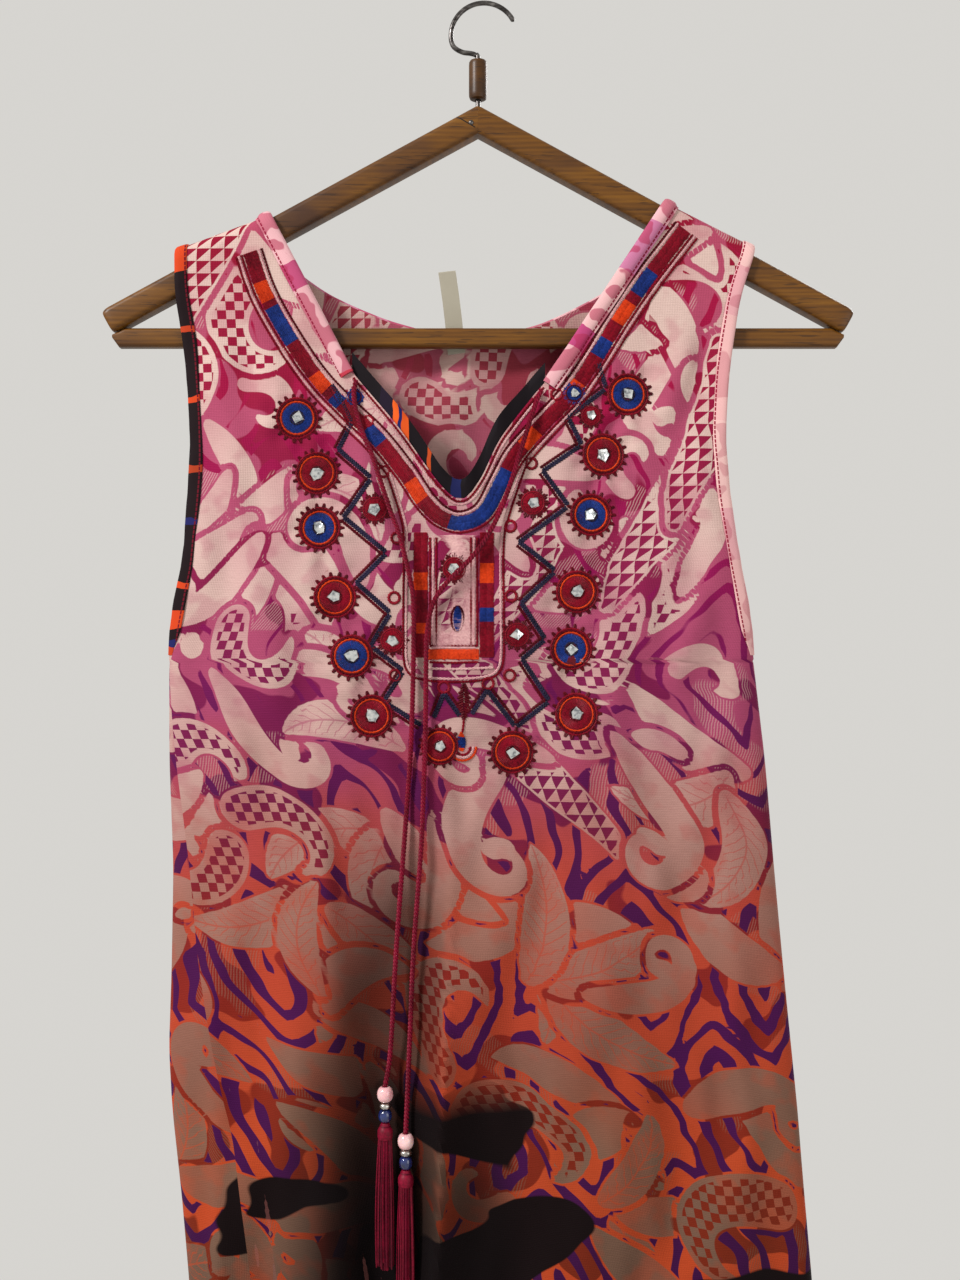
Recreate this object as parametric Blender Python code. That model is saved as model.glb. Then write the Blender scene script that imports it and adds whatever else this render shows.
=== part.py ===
"""A sleeveless tunic top with a notch neck, on a wooden hanger.

Metres, +Z up, +X to the viewer's right, and the front of the cloth faces -Y.
The origin is the inner top of the hook, where a rail holds it.
"""

import math

import bpy
import numpy as np
from mathutils import Vector
from mathutils.bvhtree import BVHTree

MM = 0.001
GAP = 0.35 * MM  # between pieces that touch or are sewn together
TRIM_GAP = 0.5 * MM  # under a trim that bends round an edge

# The cloth.
CLOTH_THICK = 1.2 * MM
HEM_Z = -905 * MM
UNDERARM_Z = -380 * MM
YOKE_Z = -302 * MM  # below this height the rows of the panels are level
SECTION_POWER = 0.6  # how flat the hanging cloth is: 1 would be an ellipse
SHOULDER_DEPTH = 9.6 * MM  # from the hanger's middle to the cloth's outside, at the shoulders
ARCH_DROP = 10 * MM  # height of the bend over the hanger's arm
ARCH_POWER = 2.6
DRAPE_STARTS = 165.0  # below the hook: above this the cloth follows the hanger, in millimetres
DRAPE_FULL = 262.0
FOLD_EDGE_FADE = (0.05, 0.5)  # sine of the angle round the section where folds start, are full
SEAM_HALF_GAP = 0.3 * MM
FRONT_STRAP_CELLS = 5
BACK_STRAP_CELLS = 4

# height, left edge, right edge, front depth, back depth, all in millimetres.
# The edges are the armholes' above the underarm, and the folded sides below it.
BODY = [
    (-120, -173.5, 160.0, 9, 9),
    (-142, -173.1, 159.2, 9, 9),
    (-169, -173.0, 150.0, 10, 10),
    (-190, -169.5, 146.5, 11, 11),
    (-215, -166.5, 143.0, 12, 12),
    (-252, -164.3, 141.0, 14, 13),
    (-285, -165.5, 143.5, 16, 14),
    (-322, -168.0, 149.0, 18, 15),
    (-345, -173.5, 154.0, 19, 16),
    (-380, -179.0, 159.5, 20, 17),
    (-440, -178.8, 166.5, 21, 18),
    (-500, -176.5, 171.5, 22, 19),
    (-560, -177.5, 177.0, 23, 20),
    (-605, -179.0, 181.5, 24, 21),
    (-640, -177.0, 185.0, 25, 22),
    (-690, -171.5, 189.0, 26, 23),
    (-741, -167.0, 193.5, 27, 24),
    (-905, -160.0, 203.0, 29, 26),
]

# height, how far the panels' edge lies in from the section's own edge, left and right.
# Above the underarm both panels have it on their own face. Below it the left side
# seam comes round onto the front by that much, and the right one onto the back.
EDGES = [
    (-120, 15, 15),
    (-252, 14, 14),
    (-285, 13, 13),
    (-322, 10, 10),
    (-345, 6, 6),
    (-372, 1, 1),
    (-380, 0, 0),
    (-420, 3, 3),
    (-552, 17, 14),
    (-603, 28, 20),
    (-649, 36, 25),
    (-741, 38, 30),
    (-905, 38, 32),
]

# The line over the shoulders: outer and inner end, x and height.
SHOULDER_LEFT = ((-173.1, -142.3), (-120.8, -122.9))
SHOULDER_RIGHT = ((108.6, -115.7), (159.2, -141.2))

# The neckline of each panel between the shoulders, from the left: x, height.
FRONT_NECK = [
    (-120.8, -122.9),
    (-72.4, -214.9),
    (-44.8, -248.2),
    (-21.8, -279.8),
    (-9.2, -288.5),
    (1.2, -277.0),
    (12.7, -254.0),
    (29.9, -231.0),
    (38.5, -221.2),
    (108.6, -115.7),
]
BACK_NECK = [
    (-120.8, -122.9),
    (-113.0, -148.8),
    (-85.0, -168.0),
    (-45.8, -184.0),
    (-10.0, -190.0),
    (30.5, -185.8),
    (70.0, -168.0),
    (97.0, -148.8),
    (108.6, -115.7),
]
# Where columns stand along the first and last stretch of a neckline, as shares of it.
NECK_STARTS = (0.01, 0.036, 0.11, 0.33, 0.66)
FRONT_NECK_CELLS = (2, 2, 1, 1, 2, 2, 1)
BACK_NECK_CELLS = (1, 2, 1, 1, 2, 1)

# How far down from the top edge each row lies, as shares of the way to the yoke line.
YOKE_ROWS = (0.0, 0.006, 0.022, 0.05, 0.09, 0.18, 0.28, 0.39, 0.5, 0.61, 0.72, 0.83, 0.92)
ROWS_TO_UNDERARM = 4
ROWS_BELOW = 18

# name, x at its top, x at the hem, height where it starts, height where it is full,
# half width, how far it stands out.
FRONT_FOLDS = [
    ("centre_trough", -56, -60, -450, -720, 22, -15),
    ("left_ridge", -78, -92, -480, -700, 15, 7),
    ("right_ridge", -14, -26, -430, -660, 11, 11),
    ("right_trough", 26, 18, -420, -700, 17, -6),
    ("right_soft_ridge", 66, 62, -350, -640, 22, 5),
    ("outer_trough", 108, 118, -400, -680, 16, -6),
    ("outer_ridge", 140, 158, -400, -640, 12, 4),
    ("left_trough", -126, -122, -420, -700, 12, -6),
]
BACK_FOLDS = [
    ("back_left_ridge", -104, -112, -300, -680, 20, 7),
    ("back_left_trough", -58, -62, -360, -700, 18, -7),
    ("back_middle_ridge", -12, -8, -330, -660, 20, 8),
    ("back_right_trough", 38, 46, -380, -700, 20, -7),
    ("back_right_ridge", 92, 104, -300, -680, 22, 7),
]

# Sewn-on trims, in millimetres.
BINDING_WIDTH = 6.5
BINDING_THICK = 0.85
CASING_WIDTH = 9.0
CASING_HIGH = 3.1
CASING_OVERHANG = 0.8  # past the neck's edge
CASING_SHOULDER = 0.65  # share of its height where its sides bend in
CASING_FLAT = (0.22, 0.62)  # shares of its width that its flat crown lies between
NECK_MIDDLE = (-6.0, 0.0, -150.0)
FACING_SHOWS = 7.0
FACING_UNDER = 5.0
FACING_THICK = 0.9
FACING_STEEPEST = 2.0  # the notch's steepest slope that the facing widens for
FACING_FOOT_ROW = 3  # the panel's row that the facing's foot lies behind
BAND_WIDTH = 11.4
BAND_THICK = 0.9
FRAME_WIDTH = 9.6
PATCH_THICK = 1.3
PATCH_EDGE_THICK = 0.7
PANEL_THICK = 0.4
PANEL_BELOW_FRAME_TOP = 24.0
ROSETTE_RADIUS = 11.6
FLOWER_RADIUS = 7.0
ROSETTE_POINTS = 8
ROSETTE_NOTCH = 0.84  # share of the radius between two points
FLOWER_PETALS = 6
FLOWER_NOTCH = 0.72

# The band's middle line from the left shoulder round the notch to the right one.
BAND_ROUTE = [
    (-129.0, -150.0),
    (-122.5, -170.0),
    (-108.0, -196.0),
    (-92.0, -219.0),
    (-75.5, -236.5),
    (-58.0, -253.5),
    (-42.0, -273.5),
    (-31.0, -290.0),
    (-21.0, -299.5),
    (-9.0, -302.5),
    (3.5, -296.5),
    (13.0, -279.5),
    (22.0, -263.0),
    (36.0, -247.0),
    (51.5, -230.5),
    (66.0, -209.5),
    (80.5, -186.0),
    (96.0, -163.0),
    (110.5, -144.0),
    (118.0, -136.0),
]
FRAME_LEFT_X = -32.6
FRAME_RIGHT_X = 5.0
FRAME_TOP_Z = -311.5
FRAME_BOTTOM_Z = -377.0
FRAME_CLEAR = 1.2

# x, height and radius of each thick patch.
ROSETTES_LEFT = [
    (-103.5, -242.0, 1.0),
    (-92.1, -273.5, 1.0),
    (-90.4, -305.0, 1.0),
    (-81.3, -344.5, 1.0),
    (-71.6, -378.0, 1.0),
    (-60.3, -412.0, 1.0),
    (-21.6, -429.0, 0.86),
]
ROSETTES_RIGHT = [
    (86.0, -228.0, 1.0),
    (71.5, -263.0, 1.0),
    (64.3, -297.5, 1.0),
    (56.3, -341.5, 1.0),
    (52.9, -374.0, 1.0),
    (55.8, -411.0, 1.0),
    (19.4, -432.5, 1.0),
]
FLOWERS = [
    (-58.5, -294.5, 1.0),
    (-48.5, -369.0, 1.0),
    (64.5, -241.0, 0.8),
    (31.3, -291.0, 1.0),
    (22.2, -366.0, 1.0),
    (-13.3, -328.5, 0.95),
]

# The loop of ribbon at the back of the neck.
LOOP_TOP = (-18.2, -153.5)
LOOP_FOOT = (-12.6, -201.0)
LOOP_WIDTH = 10.0
LOOP_LAYER = 0.8
LOOP_Y = 6.7  # its front face: it is sewn to the inside of the back panel

# The hanger.
ARM_SLOPE = math.radians(28.6)
ARM_END_X = 217.5
ARM_HIGH = 14.5
ARM_HALF_THICK = 7.0
ARM_CHAMFER = 3.4
# How far short of the arm's end, how far its top is lowered, share of its full height.
ARM_END = [(5.5, 0.0, 1.0), (1.5, 0.0, 0.9), (0.0, 2.5, 0.62)]
APEX_Z = -59.7
APEX_FLAT_Z = -60.6
APEX_HALF_FLAT = 1.8
BAR_TOP_Z = -188.2
BAR_BOTTOM_Z = -199.2
BAR_HALF_THICK = 4.5
BAR_HALF_TOP = 204.6
BAR_HALF_BOTTOM = 208.5
BAR_TIP_X = 212.0
SLEEVE_TOP_Z = -32.0
SLEEVE_BOTTOM_Z = -55.2
SLEEVE_RADIUS = 5.3
SLEEVE_BORE = 1.9
SLEEVE_CHAMFER = 1.6
WIRE_RADIUS = 1.4
HOOK_RADIUS = 19.2
HOOK_CENTRE = (3.5, -17.8)
HOOK_FREE_END = 26.0  # degrees
HOOK_ARC_ENDS = 190.0
# The wire's way from the arc down into the sleeve: x, height.
HOOK_NECK = [(-13.6, -24.6), (-9.0, -27.2), (-4.4, -27.9), (-1.4, -28.9), (0.0, -32.0)]

# The two cords, from the casing's ends to their tassels: x, height, out from the cloth.
CORD_DIAMETER = 3.0 * MM
CORD_POINTS = 50
CORD_LEFT = [
    (-69.8, -220.2, 2.2),
    (-71.0, -228.0, 3.4),
    (-69.6, -238.0, 3.8),
    (-64.9, -253.1, 3.8),
    (-61.0, -261.5, 3.8),
    (-57.0, -273.4, 3.8),
    (-53.1, -285.3, 3.8),
    (-49.1, -297.1, 3.8),
    (-44.6, -309.0, 3.8),
    (-39.8, -328.0, 3.8),
    (-36.6, -346.3, 3.8),
    (-36.4, -380.2, 3.8),
    (-37.6, -425.4, 3.8),
    (-39.4, -453.7, 3.8),
    (-41.8, -487.6, 5.0),
    (-46.0, -544.1, 6.5),
    (-49.4, -600.6, 8.0),
]
CORD_RIGHT = [
    (36.2, -226.2, 2.2),
    (33.0, -233.5, 3.6),
    (29.0, -246.0, 4.2),
    (24.0, -262.0, 4.2),
    (18.5, -280.0, 4.2),
    (12.0, -297.0, 4.2),
    (3.5, -313.0, 4.2),
    (-7.0, -326.0, 4.4),
    (-17.5, -336.5, 4.4),
    (-25.5, -348.5, 4.2),
    (-28.6, -364.0, 4.0),
    (-29.2, -380.2, 3.8),
    (-29.6, -425.4, 3.8),
    (-30.5, -453.7, 3.8),
    (-32.0, -487.6, 4.5),
    (-36.2, -544.1, 6.0),
    (-38.6, -600.6, 7.5),
]
# Where each string of beads starts, and where its tassel ends: x, height.
BEADS_LEFT = (-52.4, -621.0)
BEADS_RIGHT = (-40.6, -646.5)
# name, radius, height, radius of its bore.
BEADS = [("pearl", 4.6, 8.6, 1.9), ("ring", 3.5, 3.6, 1.9), ("bead", 3.8, 7.0, 1.9)]
TASSEL_HEAD_LONG = 9.0
TASSEL_NECK_RADIUS = 2.6
TASSEL_HEAD_RADIUS = 4.4
TASSEL_SPREAD = 5.3
TASSEL_NECK_LONG = 2.0
TASSEL_HEAD_STARTS = 4.0
# Down from the tassel's top, share of the spread, share of the strand's thickness.
STRAND_STATIONS = [(7.5, 0.62, 0.6), (23.0, 0.9, 1.0), (49.2, 1.0, 1.0), (82.0, 1.06, 0.7)]
TASSEL_RINGS = (1, 5, 9, 13)  # strands in each ring, from the middle outwards
STRAND_RADIUS = 0.62
STRAND_INSET = 0.4  # in from the head's side


def clear_scene():
    for obj in list(bpy.data.objects):
        bpy.data.objects.remove(obj, do_unlink=True)


def material(name, colour, roughness=0.8, metallic=0.0):
    made = bpy.data.materials.get(name)
    if made is None:
        made = bpy.data.materials.new(name)
        made.use_nodes = True
        shader = made.node_tree.nodes["Principled BSDF"]
        shader.inputs["Base Color"].default_value = (*colour, 1.0)
        shader.inputs["Roughness"].default_value = roughness
        shader.inputs["Metallic"].default_value = metallic
    return made


def add_object(name, points, faces, finish, smooth=40.0):
    mesh = bpy.data.meshes.new(name)
    mesh.from_pydata([tuple(point) for point in points], [], faces)
    mesh.validate()
    mesh.update()
    mesh.materials.append(finish)
    if smooth:
        mesh.shade_smooth()
        mesh.set_sharp_from_angle(angle=math.radians(smooth))
    obj = bpy.data.objects.new(name, mesh)
    bpy.context.collection.objects.link(obj)
    return obj


def column(table, index):
    """One column of a table against its heights, for np.interp, which wants them rising."""
    rows = sorted(table)
    return [row[0] for row in rows], [row[index] for row in rows]


def read(table, index, height):
    heights, values = column(table, index)
    return float(np.interp(height, heights, values))


def smoothstep(value, start, end):
    share = np.clip((value - start) / (end - start), 0.0, 1.0)
    return float(share * share * (3 - 2 * share))


def inset_angle(inset, half_width):
    """The angle round the section of a point that far in from the section's edge."""
    angle = math.acos(max(-1.0, 1.0 - abs(inset) / half_width))
    return math.copysign(angle, inset)


class Section:
    """The garment's closed outline at one height, in millimetres."""

    def __init__(self, height):
        self.height = height
        above = height > UNDERARM_Z / MM
        inset_left = read(EDGES, 1, height)
        inset_right = read(EDGES, 2, height)
        self.left = read(BODY, 1, height) - (inset_left if above else 0.0)
        self.right = read(BODY, 2, height) + (inset_right if above else 0.0)
        self.middle = (self.left + self.right) / 2
        self.half = (self.right - self.left) / 2
        self.front = read(BODY, 3, height)
        self.back = read(BODY, 4, height)
        left = inset_angle(inset_left, self.half)
        right = inset_angle(inset_right, self.half)
        if above:
            self.front_range = (left, math.pi - right)
            self.back_range = (-left, right - math.pi)
        else:
            self.front_range = (left, math.pi + right)
            self.back_range = (left, right - math.pi)

    def angle_of(self, x):
        return math.acos(np.clip((self.middle - x) / self.half, -1.0, 1.0))


def fold_offset(folds, x, height):
    """How far the folds move the cloth out at this place."""
    total = 0.0
    for _, top_x, hem_x, start, full, half_width, out in folds:
        along = (height - start) / (HEM_Z / MM - start)
        centre = top_x + (hem_x - top_x) * max(along, 0.0)
        share = smoothstep(-height, -start, -full)
        total += out * share * math.exp(-(((x - centre) / half_width) ** 2))
    return total


def shoulder_height(x):
    """The height of the line over the hanger's arm on this side, at x."""
    outer, inner = SHOULDER_LEFT if x < 0 else SHOULDER_RIGHT[::-1]
    slope = (inner[1] - outer[1]) / (inner[0] - outer[0])
    return outer[1] + slope * (x - outer[0])


def arch(drop):
    """From 0 on the shoulder line to 1 where the cloth hangs straight."""
    share = min(max(drop * MM / ARCH_DROP, 0.0), 1.0)
    return (1.0 - (1.0 - share) ** ARCH_POWER) ** (1.0 / ARCH_POWER)


def cloth_point(height, angle):
    """A point of the garment's outer surface, in millimetres."""
    section = Section(height)
    x = section.middle - section.half * math.cos(angle)
    sine = math.sin(angle)
    round_share = math.copysign(abs(sine) ** SECTION_POWER, sine)
    at_shoulder = math.copysign(SHOULDER_DEPTH / MM, sine)
    depth = section.front if sine > 0 else section.back
    hangs = smoothstep(-height, DRAPE_STARTS, DRAPE_FULL)
    out = at_shoulder * (1 - hangs) + depth * round_share * hangs
    folds = FRONT_FOLDS if sine > 0 else BACK_FOLDS
    edge_fade = smoothstep(abs(sine), *FOLD_EDGE_FADE)
    out += fold_offset(folds, x, height) * edge_fade * math.copysign(1.0, sine)
    if -height < DRAPE_STARTS:
        out *= arch(shoulder_height(x) - height)
    return np.array([x, -out, height])


def split(start, end, cells):
    """Points from start up to, and without, end."""
    return [
        tuple(np.array(start) + (np.array(end) - np.array(start)) * k / cells)
        for k in range(cells)
    ]


def top_edge(neck, neck_cells, strap_cells):
    """The panel's top edge from the left shoulder's outer end to the right one's."""
    points = split(*SHOULDER_LEFT, strap_cells)
    first, last = neck[:2], neck[-2:]
    points.append(first[0])
    for share in NECK_STARTS:
        points.append(tuple(np.array(first[0]) * (1 - share) + np.array(first[1]) * share))
    for start, end, cells in zip(neck[1:-2], neck[2:-1], neck_cells):
        points += split(start, end, cells)
    points.append(last[0])
    for share in reversed(NECK_STARTS):
        points.append(tuple(np.array(last[1]) * (1 - share) + np.array(last[0]) * share))
    points += split(*SHOULDER_RIGHT, strap_cells)
    points.append(SHOULDER_RIGHT[1])
    return points


def column_shares(top, is_front):
    """Where each column crosses the panel, from 0 at its left edge to 1 at its right."""
    shares = []
    for x, height in top:
        section = Section(height)
        start, end = section.front_range if is_front else section.back_range
        angle = section.angle_of(x)
        angle = angle if is_front else -angle
        shares.append((angle - start) / (end - start))
    shares[0], shares[-1] = 0.0, 1.0
    return shares


def panel_grid(top, is_front):
    """Rows of points from the top edge to the hem, with one spare column at each side."""
    shares = column_shares(top, is_front)
    spare = [2 * shares[0] - shares[1], *shares, 2 * shares[-1] - shares[-2]]
    tops = [top[0][1], *[height for _, height in top], top[-1][1]]
    yoke = YOKE_Z / MM
    underarm = UNDERARM_Z / MM
    hem = HEM_Z / MM
    level = list(np.linspace(yoke, underarm, ROWS_TO_UNDERARM + 1))
    level += list(np.linspace(underarm, hem, ROWS_BELOW + 1))[1:]
    rows = [[high + (yoke - high) * share for high in tops] for share in YOKE_ROWS]
    rows += [[height] * len(spare) for height in level]
    grid = []
    for row in rows:
        line = []
        for share, height in zip(spare, row):
            section = Section(height)
            start, end = section.front_range if is_front else section.back_range
            line.append(cloth_point(height, start + (end - start) * share))
        grid.append(line)
    return np.array(grid)


def grid_normals(grid, strap_cells):
    """Outward normals of the grid's points, without its spare columns."""
    above = 2 * grid[0] - grid[1]
    count = grid.shape[1]
    for i in [*range(strap_cells + 2), *range(count - strap_cells - 2, count)]:
        above[i] = grid[1, i] * np.array([1, -1, 1])
    below = 2 * grid[-1] - grid[-2]
    tall = np.concatenate([above[None], grid, below[None]])
    a, b, c, d = tall[:-1, :-1], tall[:-1, 1:], tall[1:, 1:], tall[1:, :-1]
    faces = np.cross(c - a, b - d)
    faces /= np.maximum(np.linalg.norm(faces, axis=2, keepdims=True), 1e-9)
    faces[0, strap_cells + 1 : count - strap_cells - 2] = 0.0
    total = faces[:-1, :-1] + faces[:-1, 1:] + faces[1:, 1:] + faces[1:, :-1]
    normals = total / np.linalg.norm(total, axis=2, keepdims=True)
    middle = len(grid) // 2
    turn = np.sign(normals[middle, :, 1].sum() * grid[middle, :, 1].sum())
    return normals * turn


def pull_back(points, neighbours, amount):
    step = neighbours - points
    return points + step / np.linalg.norm(step, axis=-1, keepdims=True) * amount


def close_wall(outer, inner):
    """Points and faces of the closed wall between two grids of the same shape."""
    rows, columns = outer.shape[:2]
    points = np.concatenate([outer.reshape(-1, 3), inner.reshape(-1, 3)])
    other = rows * columns
    faces = []
    for i in range(rows - 1):
        for j in range(columns - 1):
            a, b = i * columns + j, i * columns + j + 1
            c, d = b + columns, a + columns
            faces.append((a, b, c))
            faces.append((a, c, d))
            faces.append((other + a, other + c, other + b))
            faces.append((other + a, other + d, other + c))
    rim = [j for j in range(columns)]
    rim += [i * columns + columns - 1 for i in range(1, rows)]
    rim += [(rows - 1) * columns + j for j in range(columns - 2, -1, -1)]
    rim += [i * columns for i in range(rows - 2, 0, -1)]
    for a, b in zip(rim, rim[1:] + rim[:1]):
        faces.append((a, other + b, b))
        faces.append((a, other + a, other + b))
    return points, faces


def facing_out(points, faces):
    """The faces turned so that the closed body's volume is positive."""
    corners = np.array(points)[np.array(faces)]
    if np.linalg.det(corners).sum() < 0:
        return [face[::-1] for face in faces]
    return faces


class Panel:
    """A cloth panel: its outer grid, its normals and its object, in metres."""

    def __init__(self, name, neck, neck_cells, strap_cells, is_front, finish):
        top = top_edge(neck, neck_cells, strap_cells)
        grid = panel_grid(top, is_front)
        self.normals = grid_normals(grid, strap_cells)
        outer = grid[:, 1:-1] * MM
        self.strap_cells = strap_cells
        strap = [*range(strap_cells + 1), *range(outer.shape[1] - strap_cells - 1, outer.shape[1])]
        outer[:, 0] = pull_back(outer[:, 0], outer[:, 1], SEAM_HALF_GAP)
        outer[:, -1] = pull_back(outer[:, -1], outer[:, -2], SEAM_HALF_GAP)
        outer[0, strap, 1] += SEAM_HALF_GAP * (-1 if is_front else 1)
        inner = outer - self.normals * CLOTH_THICK
        inner[0, strap, 1] = outer[0, strap, 1]
        self.outer = outer
        points, faces = close_wall(outer, inner)
        faces = facing_out(points, faces)
        add_object(name, points, faces, finish)
        self.tree = BVHTree.FromPolygons([Vector(p) for p in points], faces)
        self.underarm_row = len(YOKE_ROWS) + ROWS_TO_UNDERARM
        self.is_front = is_front

    def seat(self, x, height, out):
        """The point of the outer surface at x and this height, moved out, in metres."""
        side = -1.0 if self.is_front else 1.0
        start = Vector((x * MM, side * 0.1, height * MM))
        place, normal, _, _ = self.tree.ray_cast(start, Vector((0, -side, 0)))
        return np.array(place) + np.array([0.0, side * out * MM, 0.0])


def swept(path, ups, sides, profile):
    """A closed body: the profile's (along side, along up) points carried down a path."""
    points = []
    for place, up, side in zip(path, ups, sides):
        for across, high in profile:
            points.append(place + side * across * MM + up * high * MM)
    count, rings = len(profile), len(path)
    faces = []
    for i in range(rings - 1):
        for k in range(count):
            a, b = i * count + k, i * count + (k + 1) % count
            faces.append((a, b, b + count))
            faces.append((a, b + count, a + count))
    faces.append(tuple(range(count))[::-1])
    faces.append(tuple((rings - 1) * count + k for k in range(count)))
    return points, faces


def unit(vectors):
    return vectors / np.linalg.norm(vectors, axis=-1, keepdims=True)


def tangents(path):
    path = np.array(path)
    steps = np.empty_like(path)
    steps[1:-1] = path[2:] - path[:-2]
    steps[0] = path[1] - path[0]
    steps[-1] = path[-1] - path[-2]
    return unit(steps)


def edge_trim(name, path, normals, into, profile, finish):
    """A trim along a panel's edge. into points from the edge into the cloth."""
    path, normals, sides = np.array(path), np.array(normals), unit(np.array(into))
    ups = np.cross(tangents(path), sides)
    ups = unit(ups * np.sign((ups * normals).sum(axis=1, keepdims=True)))
    points, faces = swept(path, ups, sides, profile)
    return add_object(name, points, turned(points, faces), finish)


def turned(points, faces):
    """Faces of any size, turned so that they point out of the closed body."""
    corners = np.array(points)
    total = 0.0
    for face in faces:
        for b, c in zip(face[1:-1], face[2:]):
            total += np.linalg.det(corners[[face[0], b, c]])
    return [face[::-1] for face in faces] if total < 0 else faces


def armhole_binding(name, front, back, is_left, finish):
    edge, beside = (0, 1) if is_left else (-1, -2)
    last = front.underarm_row - 1
    path, normals, into = [], [], []
    for panel, rows in ((front, range(last, 0, -1)), (back, range(1, last + 1))):
        for row in rows:
            path.append(panel.outer[row, edge])
            normals.append(panel.normals[row, edge])
            into.append(panel.outer[row, beside] - panel.outer[row, edge])
        if panel is front:
            path.append((front.outer[0, edge] + back.outer[0, edge]) / 2)
            normals.append(panel.normals[0, edge])
            into.append(panel.outer[0, beside] - panel.outer[0, edge])
    base = TRIM_GAP / MM
    lip = -CLOTH_THICK / MM
    profile = [
        (-base, base),
        (BINDING_WIDTH, base),
        (BINDING_WIDTH, base + BINDING_THICK),
        (-base - BINDING_THICK, base + BINDING_THICK),
        (-base - BINDING_THICK, lip),
        (-base, lip),
    ]
    edge_trim(name, path, normals, into, profile, finish)


def neck_columns(panel):
    """The columns of a panel that stand on its neckline, the shoulders' ends included."""
    return panel.strap_cells, panel.outer.shape[1] - 1 - panel.strap_cells


def neck_casing(front, back, corner_left, corner_right, finish):
    """The drawstring's tunnel, from the left corner round the back to the right one."""
    path, normals = [], []

    def add(panel, columns):
        for j in columns:
            path.append(panel.outer[0, j])
            normals.append(panel.normals[0, j])

    front_left, front_right = neck_columns(front)
    back_left, back_right = neck_columns(back)
    add(front, range(corner_left, front_left, -1))
    add(back, range(back_left, back_right + 1))
    add(front, range(front_right - 1, corner_right - 1, -1))
    path, normals = np.array(path), np.array(normals)
    into = np.cross(tangents(path), normals)
    from_middle = path - np.array(NECK_MIDDLE) * MM
    from_middle[:, 1] = 0.0
    into *= np.sign((into * from_middle).sum(axis=1, keepdims=True))
    for i, (x, _, height) in enumerate(path / MM):
        ends = SHOULDER_LEFT if x < 0 else SHOULDER_RIGHT[::-1]
        over_arm = unit(np.array([ends[0][0] - ends[1][0], 0.0, ends[0][1] - ends[1][1]]))
        share = smoothstep(shoulder_height(x) - height, ARCH_DROP / MM, 2.5 * ARCH_DROP / MM)
        into[i] = over_arm * (1 - share) + unit(into[i]) * share
    base, high, wide = TRIM_GAP / MM, CASING_HIGH, CASING_WIDTH
    near, far = -CASING_OVERHANG, wide - CASING_OVERHANG
    side_high = high * CASING_SHOULDER
    profile = [
        (near, base),
        (far, base),
        (far - CASING_OVERHANG, side_high),
        (wide * CASING_FLAT[1], high),
        (wide * CASING_FLAT[0], high),
        (near / 2, side_high),
    ]
    edge_trim("neck_casing", path, normals, into, profile, finish)


def notch_facing(front, corner_left, corner_right, finish):
    """The strip behind the notch's edge, which shows inside the notch."""
    edge = front.outer[0, corner_left : corner_right + 1]
    heights = edge[:, 2]
    slope = np.gradient(heights, edge[:, 0])
    rise = FACING_SHOWS * MM * np.sqrt(1 + np.minimum(slope**2, FACING_STEEPEST**2))
    behind = np.array([0.0, CLOTH_THICK + TRIM_GAP, 0.0])
    rows = []
    for share in (1.0, 0.0, -FACING_UNDER / FACING_SHOWS):
        rows.append([place + behind + np.array([0.0, 0.0, tall * share])
                     for place, tall in zip(edge, rise)])
    outer = np.array(rows)
    below = front.outer[FACING_FOOT_ROW, corner_left : corner_right + 1, 1]
    outer[-1, :, 1] += np.maximum(below - edge[:, 1], 0.0)
    inner = outer + np.array([0.0, FACING_THICK * MM, 0.0])
    points, faces = close_wall(outer, inner)
    add_object("notch_facing", points, facing_out(points, faces), finish)


def smooth_line(points, count):
    """A smooth curve through the points, read at even steps."""
    points = np.array(points, float)
    padded = np.concatenate([[2 * points[0] - points[1]], points, [2 * points[-1] - points[-2]]])
    fine = []
    for i in range(len(points) - 1):
        a, b, c, d = padded[i : i + 4]
        for t in np.linspace(0, 1, 12, endpoint=False):
            fine.append(
                0.5 * (2 * b + (c - a) * t + (2 * a - 5 * b + 4 * c - d) * t**2
                       + (3 * b - a - 3 * c + d) * t**3)
            )
    fine.append(points[-1])
    fine = np.array(fine)
    along = np.concatenate([[0], np.cumsum(np.linalg.norm(np.diff(fine, axis=0), axis=1))])
    at = np.linspace(0, along[-1], count)
    return np.stack([np.interp(at, along, fine[:, k]) for k in range(points.shape[1])], axis=1)


def flat_strip(name, route, width, panel, thick, finish):
    """A band laid on the panel along a route of (x, height) points."""
    route = np.array(route)
    steps = tangents(route)
    sideways = np.stack([-steps[:, 1], steps[:, 0]], axis=1)
    shares = (-0.5, 0.0, 0.5)
    rows = []
    for share in shares:
        places = route + sideways * width * share
        rows.append([panel.seat(x, z, TRIM_GAP / MM + thick) for x, z in places])
    outer = np.array(rows)
    inner = outer + np.array([0.0, thick * MM, 0.0])
    points, faces = close_wall(outer, inner)
    add_object(name, points, facing_out(points, faces), finish)


def patch(name, x, height, radius, lobes, notch, panel, finish):
    """A domed embroidered patch with a pointed or petalled outline."""
    count = lobes * 2
    top, bottom = [], []
    under = TRIM_GAP / MM
    for k in range(count):
        reach = radius * (1.0 if k % 2 == 0 else notch)
        angle = 2 * math.pi * k / count
        px, pz = x + reach * math.cos(angle), height + reach * math.sin(angle)
        bottom.append(panel.seat(px, pz, under))
        top.append(panel.seat(px, pz, under + PATCH_EDGE_THICK))
    points = [*bottom, *top]
    points.append(panel.seat(x, height, under))
    points.append(panel.seat(x, height, under + PATCH_THICK))
    faces = []
    for k in range(count):
        n = (k + 1) % count
        faces.append((k, n, count + n))
        faces.append((k, count + n, count + k))
        faces.append((2 * count, n, k))
        faces.append((2 * count + 1, count + k, count + n))
    add_object(name, points, turned(points, faces), finish)


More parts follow.
